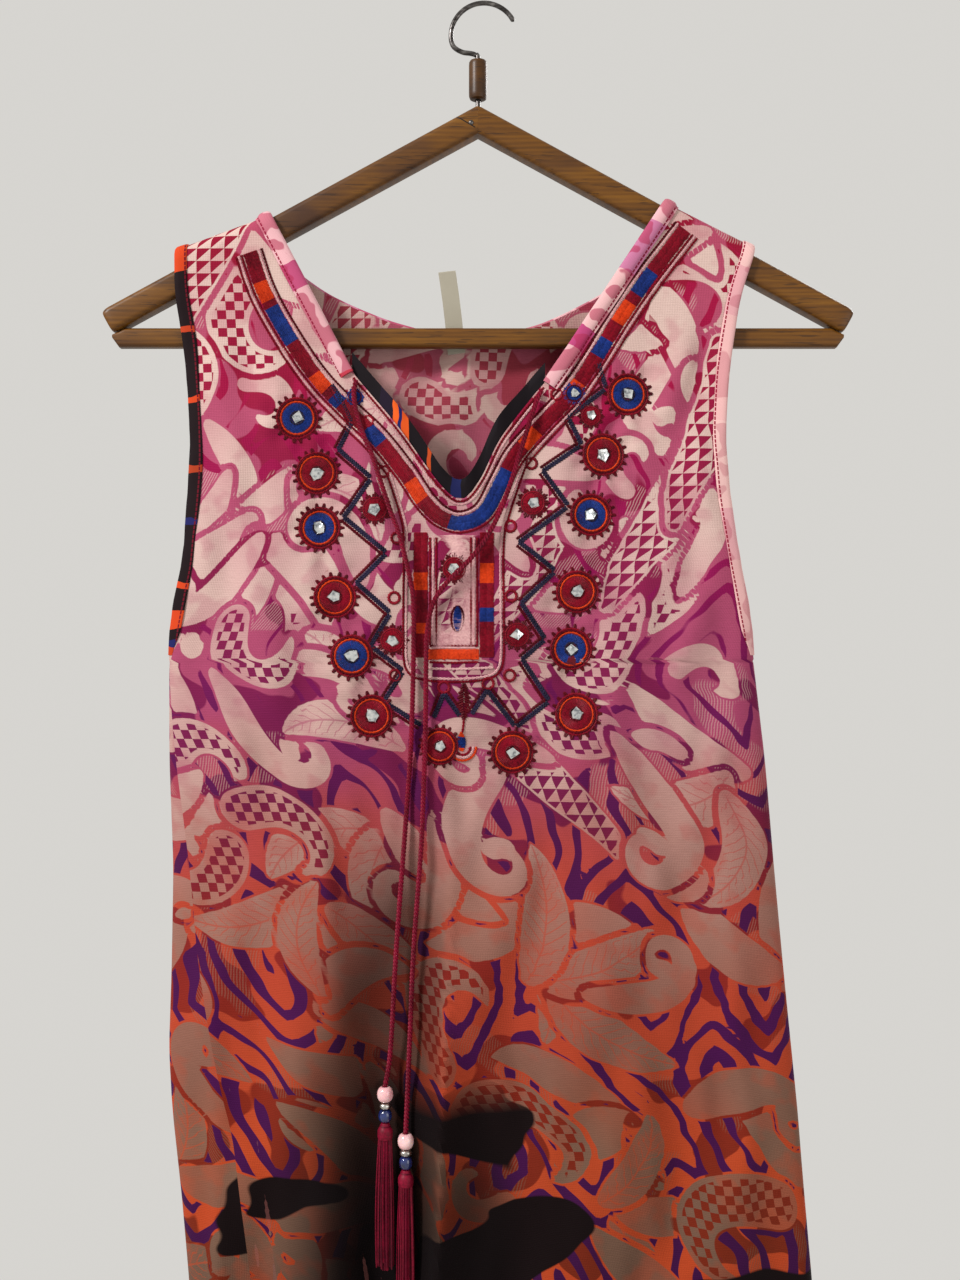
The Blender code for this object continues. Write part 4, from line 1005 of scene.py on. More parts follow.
def cord_line(route, beads_at):
    """A cord's middle line over the front, from its exit to the top of its beads."""
    places = [front.seat(x, z) + np.array([0.0, -out, 0.0]) for x, z, out in route]
    last = places[-1]
    places.append(np.array([beads_at[0], last[1] - 1.0, beads_at[1]]))
    return smooth_line(places, 420)


def rope(line):
    """Twisted strands round the line."""
    along = along_of(line)
    at = np.arange(0, along[-1], ROPE_PITCH / STEPS_A_TURN)
    line = np.stack([np.interp(at, along, line[:, k]) for k in range(3)], axis=1)
    ahead = tangents(line)
    side = unit(np.cross(ahead, np.array([0.0, -1.0, 0.0])))
    up = np.cross(side, ahead)
    points, faces = [], []
    ring = 2 * math.pi * np.arange(6) / 6
    profile = STRAND_RADIUS * np.stack([np.cos(ring), np.sin(ring)], 1)
    for strand in range(STRANDS):
        turn = 2 * math.pi * (at / ROPE_PITCH + strand / STRANDS)
        offset = STRAND_OFFSET * (np.cos(turn)[:, None] * side + np.sin(turn)[:, None] * up)
        joined(points, faces, *sweep(line + offset, side, up, profile))
    return np.array(points), faces, line


def tassel_mesh(top, seed):
    """A turned head wound with thread, and loose threads below it."""
    rng = np.random.default_rng(seed)
    points, faces = lathe(TASSEL_HEAD, 20, top)
    faces = turned(points, faces)
    points = points.tolist()
    kinds = [0] * len(faces)
    for turn in range(WINDINGS):
        wound = lathe([(2.6 + 0.5 * math.cos(a), -1.6 - 0.62 * turn + 0.36 * math.sin(a))
                       for a in np.linspace(0, 2 * math.pi, 6, endpoint=False)], 18, top)
        joined(points, faces, wound[0], turned(*wound))
        kinds += [1] * len(wound[1])
    t = np.linspace(0, 1, THREAD_POINTS)
    profile = THREAD_RADIUS * np.array([(1, 0), (0, 1), (-1, 0), (0, -1)])
    for strand in range(TASSEL_THREADS):
        angle = rng.uniform(0, 2 * math.pi)
        share = math.sqrt(rng.uniform(0, 1))
        foot = -TASSEL_LONG + rng.uniform(0, 5.0)
        sway = rng.uniform(-0.5, 0.5, 2)
        heights = np.linspace(-7.5, foot, THREAD_POINTS)
        reach = share * (3.5 + 1.5 * np.sin(math.pi * np.minimum(t * 1.3, 1) / 2))
        x = reach * math.cos(angle) + sway[0] * np.sin(3 * t)
        y = reach * math.sin(angle) + sway[1] * np.sin(3 * t)
        path = np.array(top) + np.stack([x, y, heights], 1)
        side = np.tile([math.cos(angle), math.sin(angle), 0.0], (THREAD_POINTS, 1))
        up = np.tile([-math.sin(angle), math.cos(angle), 0.0], (THREAD_POINTS, 1))
        body, strips = sweep(path, side, up, profile)
        joined(points, faces, body, strips)
        kinds += [strand % 2] * len(strips)
    return points, faces, kinds


cord_dark = thread_material("cord_thread", "440210", "82082A", 0.5)
cord_light = thread_material("tassel_thread", "3A0212", "6C0824", 0.5)
pearl = speckled("pearl_glass", 120.0, "D98A92", "F3C3C0", Roughness=0.16, Coat_Weight=0.6,
                 Coat_Roughness=0.05, Subsurface_Weight=0.15)
silver = speckled("silver_metal", 400.0, "8E8A84", "D8D4CC", Metallic=1.0, Roughness=0.28)
dark_glass = speckled("dark_glass", 200.0, "080C26", "1C2C66", Roughness=0.08, Coat_Weight=0.8,
                      Coat_Roughness=0.03)
BORE = 1.9
# What is on a cord, from above: kind, radius, height, material, slot.
BEADS = [("pearl", 4.6, 8.6, pearl, "pearl_bead"), ("ring", 3.5, 3.6, silver, "metal_ring"),
         ("bead", 3.8, 7.0, dark_glass, "dark_bead")]


def add_beads(side_name, top):
    """A cord's beads, from its line's end down. Returns them and the place below them."""
    added = []
    for kind, radius, tall, material, slot in BEADS:
        centre = top - np.array([0.0, 0.0, tall / 2])
        angles = np.linspace(-math.pi / 2, math.pi / 2, 13)
        profile = [(BORE + (radius - BORE) * math.cos(a), tall / 2 * math.sin(a)) for a in angles]
        points, faces = lathe(profile, 28, centre)
        bead = add_object(f"{kind}_on_{side_name}_cord", points, turned(points, faces),
                          material, 60)
        take_place(bead, slot, f"{kind}_{side_name}")
        added.append(bead)
        top = top - np.array([0.0, 0.0, tall + BEAD_GAP])
    return added, top


def add_cord(side_name, route, beads_at, seed):
    """A twisted cord along its route, with its beads and its tassel."""
    line = cord_line(route, beads_at)
    carried, top = add_beads(side_name, line[-1].copy())
    points, faces, kinds = tassel_mesh(top, seed)
    tassel = add_object(f"thread_tassel_{side_name}", points, faces, [cord_dark, cord_light],
                        50, kinds)
    take_place(tassel, "tassel", f"tassel_{side_name}")
    carried.append(tassel)
    foot = top - np.array([0.0, 0.0, IN_TASSEL])
    line = np.concatenate([line, straight(line[-1], foot, 40)[1:]])
    points, faces, path = rope(line)
    cord = add_object(f"twisted_cord_{side_name}", points, faces, cord_dark, 60)
    take_place(cord, "cord", f"cord_{side_name}")


add_cord("left", CORD_LEFT, BEADS_LEFT, 3)
add_cord("right", CORD_RIGHT, BEADS_RIGHT, 4)

# The two printed panels, and their size on the flat cut.
# Where the cloth is painted darker, down to near black, partly as dark dye and partly as painted
# shade: the first two are the deep trough beside a fold, and one darkens the lower right side. x,
# height, half width, half height, how dark.
DARK_DYE_AND_PAINTED_SHADE = [(-56, -735, 50, 182, 1.0), (-52, -570, 38, 85, 0.72), (150, -770, 46, 40, 0.6),
          (-130, -770, 40, 36, 0.5), (-14, -325, 95, 120, 0.13), (-6, -716, 30, 72, 0.8),
          (76, -640, 80, 100, 0.14)]
# The first two, painted shade with dark dye in the deep trough, stop at the sharp edge of the fold
# beside them.
EDGED_SHADES = 2
SHADE_EDGE = [(-905.0, -29.0), (-741.0, -23.3), (-572.0, -20.0), (-460.0, -13.0)]


def set_values(obj, name, values):
    """Gives the piece's points a value that its material reads."""
    obj.data.attributes.new(name, "FLOAT", "POINT").data.foreach_set(
        "value", np.asarray(values, np.float32))


def front_dye_and_painted_shade(points):
    """How dark each of the front panel's points is painted, with dark dye and with painted shade.
    """
    shade = np.zeros(len(points))
    for number, (x, z, wide, tall, share) in enumerate(DARK_DYE_AND_PAINTED_SHADE):
        away = ((points[:, 0] - x) / wide) ** 2 + ((points[:, 2] - z) / tall) ** 2
        dark = share * np.exp(-(away**2))
        if number < EDGED_SHADES:
            limit = np.interp(points[:, 2], *zip(*SHADE_EDGE))
            dark *= 1 - 0.92 * smoothstep(points[:, 0], limit - 1.5, limit + 1.5)
        shade = np.maximum(shade, dark)
    return shade


def add_panel(name, shell, seed):
    """A printed panel, with its print's fields, its shade and its flat cut."""
    points, faces, kinds = shell_mesh(shell)
    obj = add_object(name, points, faces, PRINTED, 70, kinds)
    across = np.concatenate([shell.across.ravel(), shell.across[::2, ::2].ravel()])
    flat = np.stack([across, points[:, 2]], 1)
    field = print_fields(flat, seed)
    field["fall"] = (PRINT_TOP - points[:, 2]) / PRINT_TALL
    field["shade"] = front_dye_and_painted_shade(points) if shell.is_front else np.zeros(len(points))
    for key, values in field.items():
        set_values(obj, key, values)
    mesh = obj.data
    corners = np.zeros(len(mesh.loops), np.int32)
    mesh.loops.foreach_get("vertex_index", corners)
    layer = mesh.uv_layers.new(name="flat")
    layer.data.foreach_set("uv", (flat[corners] * MM).astype(np.float32).ravel())
    side_name = "front" if shell.is_front else "back"
    take_place(obj, f"{side_name}_cloth", f"{side_name}_panel")


PRINTED = [print_material("printed_cloth", False), print_material("printed_cloth_inside", True)]
add_panel("printed_front", front, 5)
add_panel("printed_back", back, 8)


# Stitched trims. All their places are seated on the fine front panel.
def beside(route, out):
    """The route moved sideways. A route from left to right moves up, towards the neck."""
    steps = tangents(route)
    return np.asarray(route) + np.stack([-steps[:, 1], steps[:, 0]], 1) * out


def evenly(route, pitch):
    """The route's points again, about pitch apart."""
    long = np.linalg.norm(np.diff(route, axis=0), axis=1).sum()
    return smooth_line(route, max(3, round(long / pitch)))


def stitch(work, start, end, wide, high, kind, lift=0.1):
    """One stitch between two (x, height) places on the front."""
    a, b = front.seat(*start, lift), front.seat(*end, lift)
    if np.linalg.norm(b - a) > 0.05:
        work.add(a, b, (0.0, -1.0, 0.0), wide, high, kind)


def satin(work, route, wide, kind_at, lift=0.15, pitch=0.66, seed=1):
    """Side by side stitches across a band. kind_at gives the thread at a length along it."""
    rng = np.random.default_rng(seed)
    line = evenly(route, pitch)
    left, right = beside(line, wide / 2), beside(line, -wide / 2)
    along = 0.0
    for i in range(1, len(line) - 1):
        along += np.linalg.norm(line[i] - line[i - 1])
        start = left[i] + (left[i] - right[i]) * rng.uniform(-0.02, 0.03)
        end = right[i] + (right[i] - left[i]) * rng.uniform(-0.02, 0.03)
        middle = (start + end) / 2
        kind = kind_at(along)
        stitch(work, start, middle + (middle - start) * 0.16, pitch * 1.7, 0.5, kind, lift)
        stitch(work, end, middle + (middle - end) * 0.16, pitch * 1.7, 0.55, kind, lift)


def chain(work, route, kind, link=2.3, wide=0.95, lift=0.12, splay=0.42):
    """A row of chain stitch: each link is two legs that meet in a point."""
    line = evenly(route, link)
    left, right = beside(line, splay), beside(line, -splay)
    for i in range(len(line) - 1):
        reach = line[i + 1] + (line[i + 1] - line[i]) * 0.22
        stitch(work, left[i], reach, wide, 0.62, kind, lift)
        stitch(work, right[i], reach, wide, 0.62, kind, lift)


def round_route(x, z, radius, count=26, squash=1.0):
    """A closed round or oval line."""
    angle = 2 * math.pi * np.arange(count + 1) / count
    return np.stack([x + radius * np.cos(angle), z + radius * squash * np.sin(angle)], 1)


def rope_ring(work, x, z, radius, count, kind, wide=1.0, high=0.6, lift=0.2, lean=0.35):
    """Slanting stitches that follow each other round a ring."""
    step = 2 * math.pi / count
    for k in range(count):
        a, b = k * step - step * 0.35, (k + 1) * step + step * 0.35
        start = (x + (radius - lean) * math.cos(a), z + (radius - lean) * math.sin(a))
        end = (x + (radius + lean) * math.cos(b), z + (radius + lean) * math.sin(b))
        stitch(work, start, end, wide, high, kind, lift)


def spokes(work, x, z, inner, outer, count, kind, wide, high=0.5, lift=0.3, uneven=0.2, seed=0):
    """Stitches from an inner ring out to an outer one, a little uneven."""
    rng = np.random.default_rng(seed)
    for k in range(count):
        angle = 2 * math.pi * (k + rng.uniform(-0.12, 0.12)) / count
        way = np.array([math.cos(angle), math.sin(angle)])
        start = np.array([x, z]) + way * (inner + rng.uniform(-uneven, uneven))
        end = np.array([x, z]) + way * (outer + rng.uniform(-uneven, uneven))
        stitch(work, start, end, wide, high, kind, lift)


def pad(work, x, z, radius, high, kind, sides=24):
    """A low dome under a patch's stitches."""
    points, faces = [], []
    rings = [(1.0, 0.05), (1.0, high * 0.55), (0.6, high * 0.9)]
    for share, out in rings:
        for k in range(sides):
            angle = 2 * math.pi * k / sides
            points.append(front.seat(x + radius * share * math.cos(angle),
                                     z + radius * share * math.sin(angle), out))
    points.append(front.seat(x, z, high))
    points.append(front.seat(x, z, 0.05))
    top, foot = len(points) - 2, len(points) - 1
    for k in range(sides):
        n = (k + 1) % sides
        faces += [(k, n, n + sides, k + sides),
                  (k + sides, n + sides, n + 2 * sides, k + 2 * sides),
                  (k + 2 * sides, n + 2 * sides, top), (n, k, foot)]
    work.pad(points, turned(points, faces), kind)


chip_points, chip_faces = [], []


def mirror_chip(x, z, radius, lift, seed):
    """A rough piece of mirror: an uneven plate of four to six corners with a broken face."""
    rng = np.random.default_rng(seed)
    corners = int(rng.integers(4, 7))
    turn = rng.uniform(0, 2 * math.pi)
    base = len(chip_points)
    for low in (True, False):
        for k in range(corners):
            angle = turn + 2 * math.pi * k / corners
            reach = radius * (1.0 if low else 0.86) * (0.82 + 0.36 * ((seed * 7 + k * 5) % 4) / 3)
            out = lift + (0.0 if low else 0.55 + 0.12 * ((seed + k) % 3))
            chip_points.append(front.seat(x + reach * math.cos(angle),
                                          z + reach * math.sin(angle), out))
    chip_points.append(front.seat(x, z, lift + 0.85))
    chip_points.append(front.seat(x, z, lift))
    for k in range(corners):
        n = (k + 1) % corners
        low_k, low_n, high_k, high_n = (base + k, base + n, base + corners + k,
                                        base + corners + n)
        chip_faces.extend([(low_n, low_k, high_k, high_n), (high_n, high_k, len(chip_points) - 2),
                           (low_k, low_n, len(chip_points) - 1)])


# A rosette's spikes: how many, the radius of their roots and tips, and how far the roots lean.
SPIKES, SPIKE_ROOT, SPIKE_TIP, SPIKE_LEAN = 18, 10.4, 14.6, 0.085
ROSETTE_RADIUS = 11.6
# A flower's petals: how many, the radius of their roots, and each stitch's lean and reach.
PETALS, PETAL_ROOT = 12, 5.4
PETAL_STITCHES = ((-0.13, 8.0), (0.0, 9.0), (0.13, 8.0))
FLOWER_RADIUS = 6.6


def rosette(work, x, z, scale, fill, seed):
    """A round patch: spikes, a roped edge, an orange ring, a satin disc and a mirror chip."""
    pad(work, x, z, ROSETTE_RADIUS * scale, 1.1, D)
    rng = np.random.default_rng(seed)
    reach = SPIKE_TIP * scale
    for spike in range(SPIKES):
        turn = 2 * math.pi * (spike + rng.uniform(-0.12, 0.12)) / SPIKES
        tip = np.array([x + reach * math.cos(turn), z + reach * math.sin(turn)])
        for lean in (-SPIKE_LEAN, SPIKE_LEAN):
            way = np.array([math.cos(turn + lean), math.sin(turn + lean)])
            stitch(work, np.array([x, z]) + way * SPIKE_ROOT * scale, tip, 1.5, 0.7, D, 0.1)
    rope_ring(work, x, z, ROSETTE_RADIUS * scale, 36, C, 1.2, 0.6, 0.45)
    rope_ring(work, x, z, 10.5 * scale, 34, D, 1.2, 0.6, 0.65)
    rope_ring(work, x, z, 9.5 * scale, 26, O, 0.8, 0.5, 0.85, 0.25)
    spokes(work, x, z, 2.6 * scale, 8.9 * scale, 62, fill, 1.05, 0.5, 0.85, 0.2, seed + 2)
    rope_ring(work, x, z, 3.9 * scale, 16, D if fill == C else K, 0.9, 0.5, 1.25, 0.2)
    mirror_chip(x, z, 4.1 * scale, 1.35, seed)


def flower(work, x, z, scale, fill, seed):
    """A small patch with a petalled edge."""
    pad(work, x, z, FLOWER_RADIUS * scale, 0.9, D, 18)
    middle = np.array([x, z])
    for petal in range(PETALS):
        turn = 2 * math.pi * petal / PETALS
        for lean, reach in PETAL_STITCHES:
            way = np.array([math.cos(turn + lean), math.sin(turn + lean)])
            start, end = middle + way * PETAL_ROOT * scale, middle + way * reach * scale
            stitch(work, start, end, 1.3, 0.55, D if fill == C else fill, 0.15)
    rope_ring(work, x, z, 5.9 * scale, 22, C if fill == C else D, 0.95, 0.5, 0.5, 0.2)
    spokes(work, x, z, 2.2 * scale, 5.4 * scale, 40, fill, 0.9, 0.5, 0.75, 0.15, seed)
    mirror_chip(x, z, 3.5 * scale, 1.15, seed)


def finish_work(name, work, nodes):
    """Makes the gathered stitches into a piece."""
    points, faces, kinds = work.mesh()
    obj = add_object(name, points, faces, THREADS, 35, kinds)
    if nodes:
        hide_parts(*nodes)


def blocks(table, rest):
    """Which thread lies at a length along a band, from rows of (start, end, thread)."""
    return lambda along: next((kind for low, high, kind in table if low <= along < high), rest)


BAND_WIDTH = 8.6
# The band's blocks of colour: where one starts and ends along it, and its thread.
BAND_BLOCKS = [
    (18, 30, O), (34, 58, N), (80, 91, O), (96, 103, N), (124, 136, N), (163, 176, O),
    (196, 246, N), (262, 274, O), (300, 311, O), (330, 341, N), (352, 366, O), (372, 388, N),
]
# Chain rows beside the band and beside the neck's edge: how far off, thread, link, width.
BAND_CHAINS = [(5.3, P, 2.3, 0.95), (6.9, D, 1.9, 0.8), (-5.3, C, 1.9, 0.9)]
NECK_CHAINS = [(-1.5, C, 1.9, 0.85), (-3.2, P, 2.3, 0.95)]
# The placket's frame and the oval on its panel, and the chain rows that run round them.
FRAME_TOP, FRAME_FOOT, FRAME_WIDTH = -307.5, -379.0, 8.4
OVAL_MIDDLE, OVAL_ROWS = (-11.6, -357.0), 17
PLACKET_SIDES = (-40.6, 13.0)
BORDER_FOOT = -390.0
BORDER_CHAINS = [(0.0, P, 2.3, 0.95), (-1.7, C, 1.8, 0.85)]
# The zigzags: x and height of their corners.
ZIGZAG_LEFT = [
    (-84.5, -222.0), (-78.4, -232.6), (-72.7, -243.9), (-80.6, -259.8), (-61.3, -276.9),
    (-77.2, -299.0), (-52.4, -319.5), (-69.8, -336.5), (-50.4, -353.6), (-61.9, -372.3),
    (-43.0, -386.5), (-54.4, -404.1), (-32.4, -417.7),
]
ZIGZAG_RIGHT = [
    (68.5, -210.0), (72.7, -224.6), (50.6, -241.7), (58.5, -257.6), (36.4, -272.3), (50.6, -292.8),
    (22.7, -313.2), (43.2, -329.7), (23.9, -347.9), (37.5, -368.3), (24.4, -379.7), (39.8, -403.5),
    (21.6, -417.7), (5.1, -396.2), (-4.0, -410.4),
]
ZIGZAG_FOOT = [(-9.6, -411.5), (-19.3, -398.0), (-25.5, -412.6)]
SMALL_RINGS = [
    (-63.0, -243.9), (-53.9, -272.9), (-46.0, -311.0), (-47.5, -345.0), (-19.3, -395.6),
    (5.7, -393.6), (45.0, -228.5), (30.5, -268.0), (18.5, -304.0), (18.8, -344.0), (18.0, -389.0),
    (-47.0, -389.0),
]
SMALL_RING_RADIUS = 3.3


def chains(work, line, rows):
    """Chain rows beside a line, from rows of (how far off, thread, link, width)."""
    for out, kind, link, wide in rows:
        chain(work, beside(line, out) if out else line, kind, link, wide)


def placket_border():
    """A line that leaves the band beside the placket and runs round the placket's foot."""
    beyond = beside(band_line, -6.9)
    on_left, on_right = beyond[beyond[:, 0] < -44], beyond[beyond[:, 0] > 20]
    left, right = PLACKET_SIDES
    foot = BORDER_FOOT
    line = [*on_left[:-4], (-42.0, -300.0), (left, -316.0), (left, -352.0), (left, -378.0),
            (-37.5, foot + 3), (-29.0, foot), (-14.0, foot - 1), (2.0, foot), (10.0, foot + 3),
            (right, -378.0), (right, -350.0), (right, -316.0), (15.5, -300.0), *on_right[4:]]
    return smooth_line(line, 260)


def zigzag(work, corners):
    """A broad dark chain from corner to corner, with a thinner one below it."""
    for start, end in zip(corners[:-1], corners[1:]):
        run = np.array([np.array(start) + (np.array(end) - np.array(start)) * share
                        for share in np.linspace(0.02, 0.98, 6)])
        chain(work, beside(run, 0.6), K, 1.5, 1.5, 0.2, 1.15)
        chain(work, beside(run, -1.9), D, 1.7, 1.2, 0.12, 0.45)


def motif(work):
    """The motif below the placket: a jagged leaf, a short stem, a drop and hoops round its foot."""
    leaf_rows, drop_rows = 15, 12
    for k in range(leaf_rows):
        share = k / (leaf_rows - 1)
        reach = 4.2 * math.sin(math.pi * (0.12 + 0.8 * share)) * (1.0 if k % 2 else 0.72)
        middle = (-7.9, -393.5 - 19.0 * share)
        for side in (-1, 1):
            stitch(work, middle, (middle[0] + side * reach, middle[1] - 1.6), 1.5, 0.7, D, 0.15)
    chain(work, [(-7.9, -412.5), (-8.2, -417.0), (-8.8, -421.0)], C, 1.8, 0.9)
    for k in range(drop_rows):
        share = k / (drop_rows - 1)
        reach = 2.8 * math.sin(math.pi * (0.1 + 0.75 * share))
        start, end = (-9.3 - reach, -421.0 - 10.0 * share), (-9.3 + reach, -421.6 - 10.0 * share)
        stitch(work, start, end, 1.2, 0.7, N if 2 < k < 10 else O, 0.15)
    for reach, kind in ((4.4, C), (6.0, P), (7.6, O)):
        angle = np.linspace(math.pi, 2 * math.pi, 12)
        hoop = np.stack([-8.6 + reach * np.cos(angle), -429.5 + reach * np.sin(angle)], 1)
        chain(work, hoop, kind, 1.7, 0.9)


def placket_frame(work):
    """The pale panel, and round it the frame with its blocks of colour and its chain rows."""
    panel = [(-13.8, z) for z in np.linspace(-309.0, -374.0, 12)]
    satin(work, panel, 26.0, blocks([], P), 0.0)
    for x, orange_and_navy, seed in ((-32.6, [(23, 33, O), (52, 58, O)], 3),
                                     (5.0, [(18, 29, O), (43, 51, N)], 4)):
        side = [(x, z) for z in np.linspace(FRAME_TOP, FRAME_FOOT, 12)]
        satin(work, side, FRAME_WIDTH, blocks(orange_and_navy, C), seed=seed)
    foot_row = [(x, -377.0) for x in np.linspace(-28.2, 0.8, 8)]
    satin(work, foot_row, 6.2, blocks([], O), seed=5)
    chain(work, [(-27.5, -372.2), (-14.0, -372.2), (0.0, -372.2)], C, 1.8, 0.8)
    chain(work, [(-27.5, -381.4), (-14.0, -381.8), (0.0, -381.4)], C, 1.8, 0.8)
    chain(work, [(-36.0, -384.6), (-14.0, -385.4), (8.4, -384.6)], P, 2.2, 0.9)
    for x, kind in ((-27.2, C), (-25.4, P), (-23.6, C), (-4.0, C), (-2.2, P), (-0.4, C)):
        run = [(x, z) for z in np.linspace(-310.5, -371.5, 10)]
        chain(work, run, kind, 2.1, 0.85)


def placket_oval(work):
    """The upright navy oval on the pale panel, with a chain round it."""
    x, z = OVAL_MIDDLE
    for k in range(OVAL_ROWS):
        share = (k + 0.5) / OVAL_ROWS * 2 - 1
        reach = 2.9 * math.sqrt(1 - share**2)
        height = z + 7.0 * share
        stitch(work, (x - reach, height), (x + reach, height + 0.3), 1.3, 0.7, N, 0.2)
    chain(work, round_route(x, z, 3.5, 22, 2.1), D, 1.7, 0.9)


band_line = smooth_line(BAND_ROUTE, 160)
band = Stitches()
satin(band, band_line, BAND_WIDTH, blocks(BAND_BLOCKS, C))
chains(band, band_line, BAND_CHAINS)
neck_edge = front.outer[0, front.corner_left + 1 : front.corner_right, [0, 2]].T
chains(band, evenly(neck_edge, 3.0), NECK_CHAINS)
finish_work("stitched_band", band, ["neck_band"])

lines = Stitches()
chains(lines, placket_border(), BORDER_CHAINS)
for corners in (ZIGZAG_LEFT, ZIGZAG_RIGHT, ZIGZAG_FOOT):
    zigzag(lines, corners)
for x, z in SMALL_RINGS:
    rope_ring(lines, x, z, SMALL_RING_RADIUS, 14, C, 1.6, 0.8, 0.15, 0.3)
motif(lines)
finish_work("stitched_lines", lines, [])

placket = Stitches()
placket_frame(placket)
placket_oval(placket)
finish_work("stitched_placket", placket,
            ["placket_left", "placket_right", "placket_foot", "placket_panel"])

for odd, name, slot, fill in ((True, "rosettes_blue", "blue_stitch", N),
                              (False, "rosettes_crimson", "crimson_stitch", C)):
    work, nodes = Stitches(), []
    for side_name, table in (("left", ROSETTES_LEFT), ("right", ROSETTES_RIGHT)):
        for number, (x, z, scale) in enumerate(table, 1):
            if bool(number % 2) == odd:
                filled = C if number == 7 else fill
                rosette(work, x, z, scale, filled, number + 20 * len(side_name))
                nodes.append(f"rosette_{side_name}_{number}")
    finish_work(name, work, nodes)

flowers = Stitches()
for number, (x, z, scale) in enumerate(FLOWERS, 1):
    flower(flowers, x, z, scale * 1.1, C, number + 60)
flower(flowers, -70.5, -229.5, 0.62, N, 71)
flower(flowers, 55.0, -228.0, 0.8, N, 73)
finish_work("stitched_flowers", flowers, [f"flower_{n}" for n in range(1, 7)])

mirror_look = Shading("mirror_chips", Metallic=1.0, Roughness=0.16)
crazed = mirror_look.noise(mirror_look.place(), 420.0, 3.0)
mirror_look.bump(crazed, 0.7, 0.0003)
mirror_look.colour(mirror_look.ramp(crazed, [(0.35, "8C9094"), (0.5, "D9DCDC"),
                                             (0.7, "FAFAF6")]))
add_object("mirror_chips", chip_points, turned(chip_points, chip_faces), mirror_look.material, 0)


# Cloth trims: bindings, the neck's casing, the notch's facing and the loop.
# Each strip's blocks of colour: where one starts along it, and its colour. The last is its end.
LEFT_BINDING = [
    (0, "A8361A"), (9, "1C1C50"), (14, "170B0E"), (19, "B83A16"), (31, "170B0E"), (44, "B83A16"),
    (47, "170B0E"), (80, "1C1C50"), (84, "170B0E"), (110, "983418"), (114, "170B0E"),
    (150, "B83A16"), (153, "170B0E"), (190, "A8361A"), (194, "170B0E"), (226, "B83A16"),
    (268, "170B0E"), (300, ""),
]
RIGHT_BINDING = [(0, "CFA09E"), (60, "C89296"), (90, "D2A8A4"), (140, "")]
CASING = [
    (0, "C8431C"), (5, "C8989C"), (58, "A64468"), (74, "CC9CA0"), (120, "B87088"), (260, "CC9CA0"),
    (440, "AE6888"), (474, "CCA0A0"), (512, "A23C68"), (526, "C8989C"), (700, ""),
]
FACING = [
    (0, "120C10"), (30, "1A1020"), (42, "D4561E"), (47, "1C1C52"), (50, "C84C1A"), (57, "120C10"),
    (75, "A8401A"), (80, "120C10"), (96, "161A44"), (103, "120C10"), (190, ""),
]
BINDING_WIDTH, BINDING_SEAM = 6.5, (5.2, 5.4)
CASING_HEIGHT, CASING_WIDTH, CASING_SEAM = 3.0, 8.3, 6.9
CASING_STEP = 1.3
NECK_MIDDLE = (-6.0, 0.0, -150.0)
# The facing has no seam: this lies beyond its edge.
NO_SEAM = 50.0


def edge_trim(name, path, normals, into, profiles, material):
    """A trim along a panel's edge. into points from the edge into the cloth."""
    sides = unit(into)
    ups = np.cross(tangents(path), sides)
    ups = unit(ups * np.sign((ups * normals).sum(axis=1, keepdims=True)))
    points, faces = sweep(path, sides, ups, profiles)
    obj = add_object(name, points, faces, material, 60)
    set_values(obj, "run", np.repeat(along_of(path), len(profiles[0])))
    shape = np.concatenate(profiles)
    set_values(obj, "over", shape[:, 0])
    return obj


def cloth_strip_material(name, blocks_of_colour, seam_colour, seam_at, print_share=0.0):
    """A strip cut from printed cloth. Its colours follow it in blocks, with a stitched seam."""
    look = Shading(name, Roughness=0.75, Sheen_Weight=0.03, Sheen_Roughness=0.4,
                   Specular_IOR_Level=0.1)
    run, over = look.attribute("run"), look.attribute("over")
    at = look.maths("MULTIPLY_ADD", look.noise(look.place(), 60.0, 2.0), 9.0, run)
    longest = blocks_of_colour[-1][0]
    share = look.maths("FRACT", look.maths("DIVIDE", at, longest))
    stops = [(start / longest, code) for start, code in blocks_of_colour[:-1]]
    colour = look.ramp(share, stops, False)
    if print_share:
        marks = look.above(look.noise(look.place(), 75.0, 1.0), 0.53, 0.01)
        colour = look.mix(look.times(marks, print_share), colour, "9A2A4C")
    seam = look.window(over, seam_at - 0.45, seam_at + 0.45, 0.12)
    dash = look.maths("GREATER_THAN", look.maths("FRACT", look.maths("DIVIDE", run, 2.6)), 0.22)
    colour = look.mix(look.times(seam, dash), colour, seam_colour)
    fine = look.add("ShaderNodeTexWave", {"Vector": look.place(turn=(0.3, 0.6, 0.8)),
                                          "Scale": 300.0, "Distortion": 1.0}, output=1)
    look.bump(look.maths("MULTIPLY_ADD", look.noise(look.place(), 500.0), 0.8, fine), 0.3, 0.0002)
    return look.colour(colour)


def armhole_line(is_left):
    """The armhole's edge up the front and down the back, with its normals and its way inwards."""
    edge, inside = (0, 3) if is_left else (-1, -4)
    path, normals, into = [], [], []
    for shell in (front, back):
        rows = [i for i in range(len(shell.outer)) if shell.outer[i, edge, 2] > UNDERARM_Z + 1]
        for row in rows[:1:-2] if shell.is_front else rows[2::2]:
            path.append(shell.outer[row, edge])
            normals.append(shell.normals[row, edge])
            into.append(shell.outer[row, inside] - shell.outer[row, edge])
        if shell.is_front:
            path.append((front.outer[0, edge] + back.outer[0, edge]) / 2 + np.array([0, 0, 0.1]))
            normals.append(np.array([0.0, 0.0, 1.0]))
            into.append(front.outer[0, inside] - front.outer[0, edge])
    return np.array(path), unit(np.array(normals)), np.array(into)


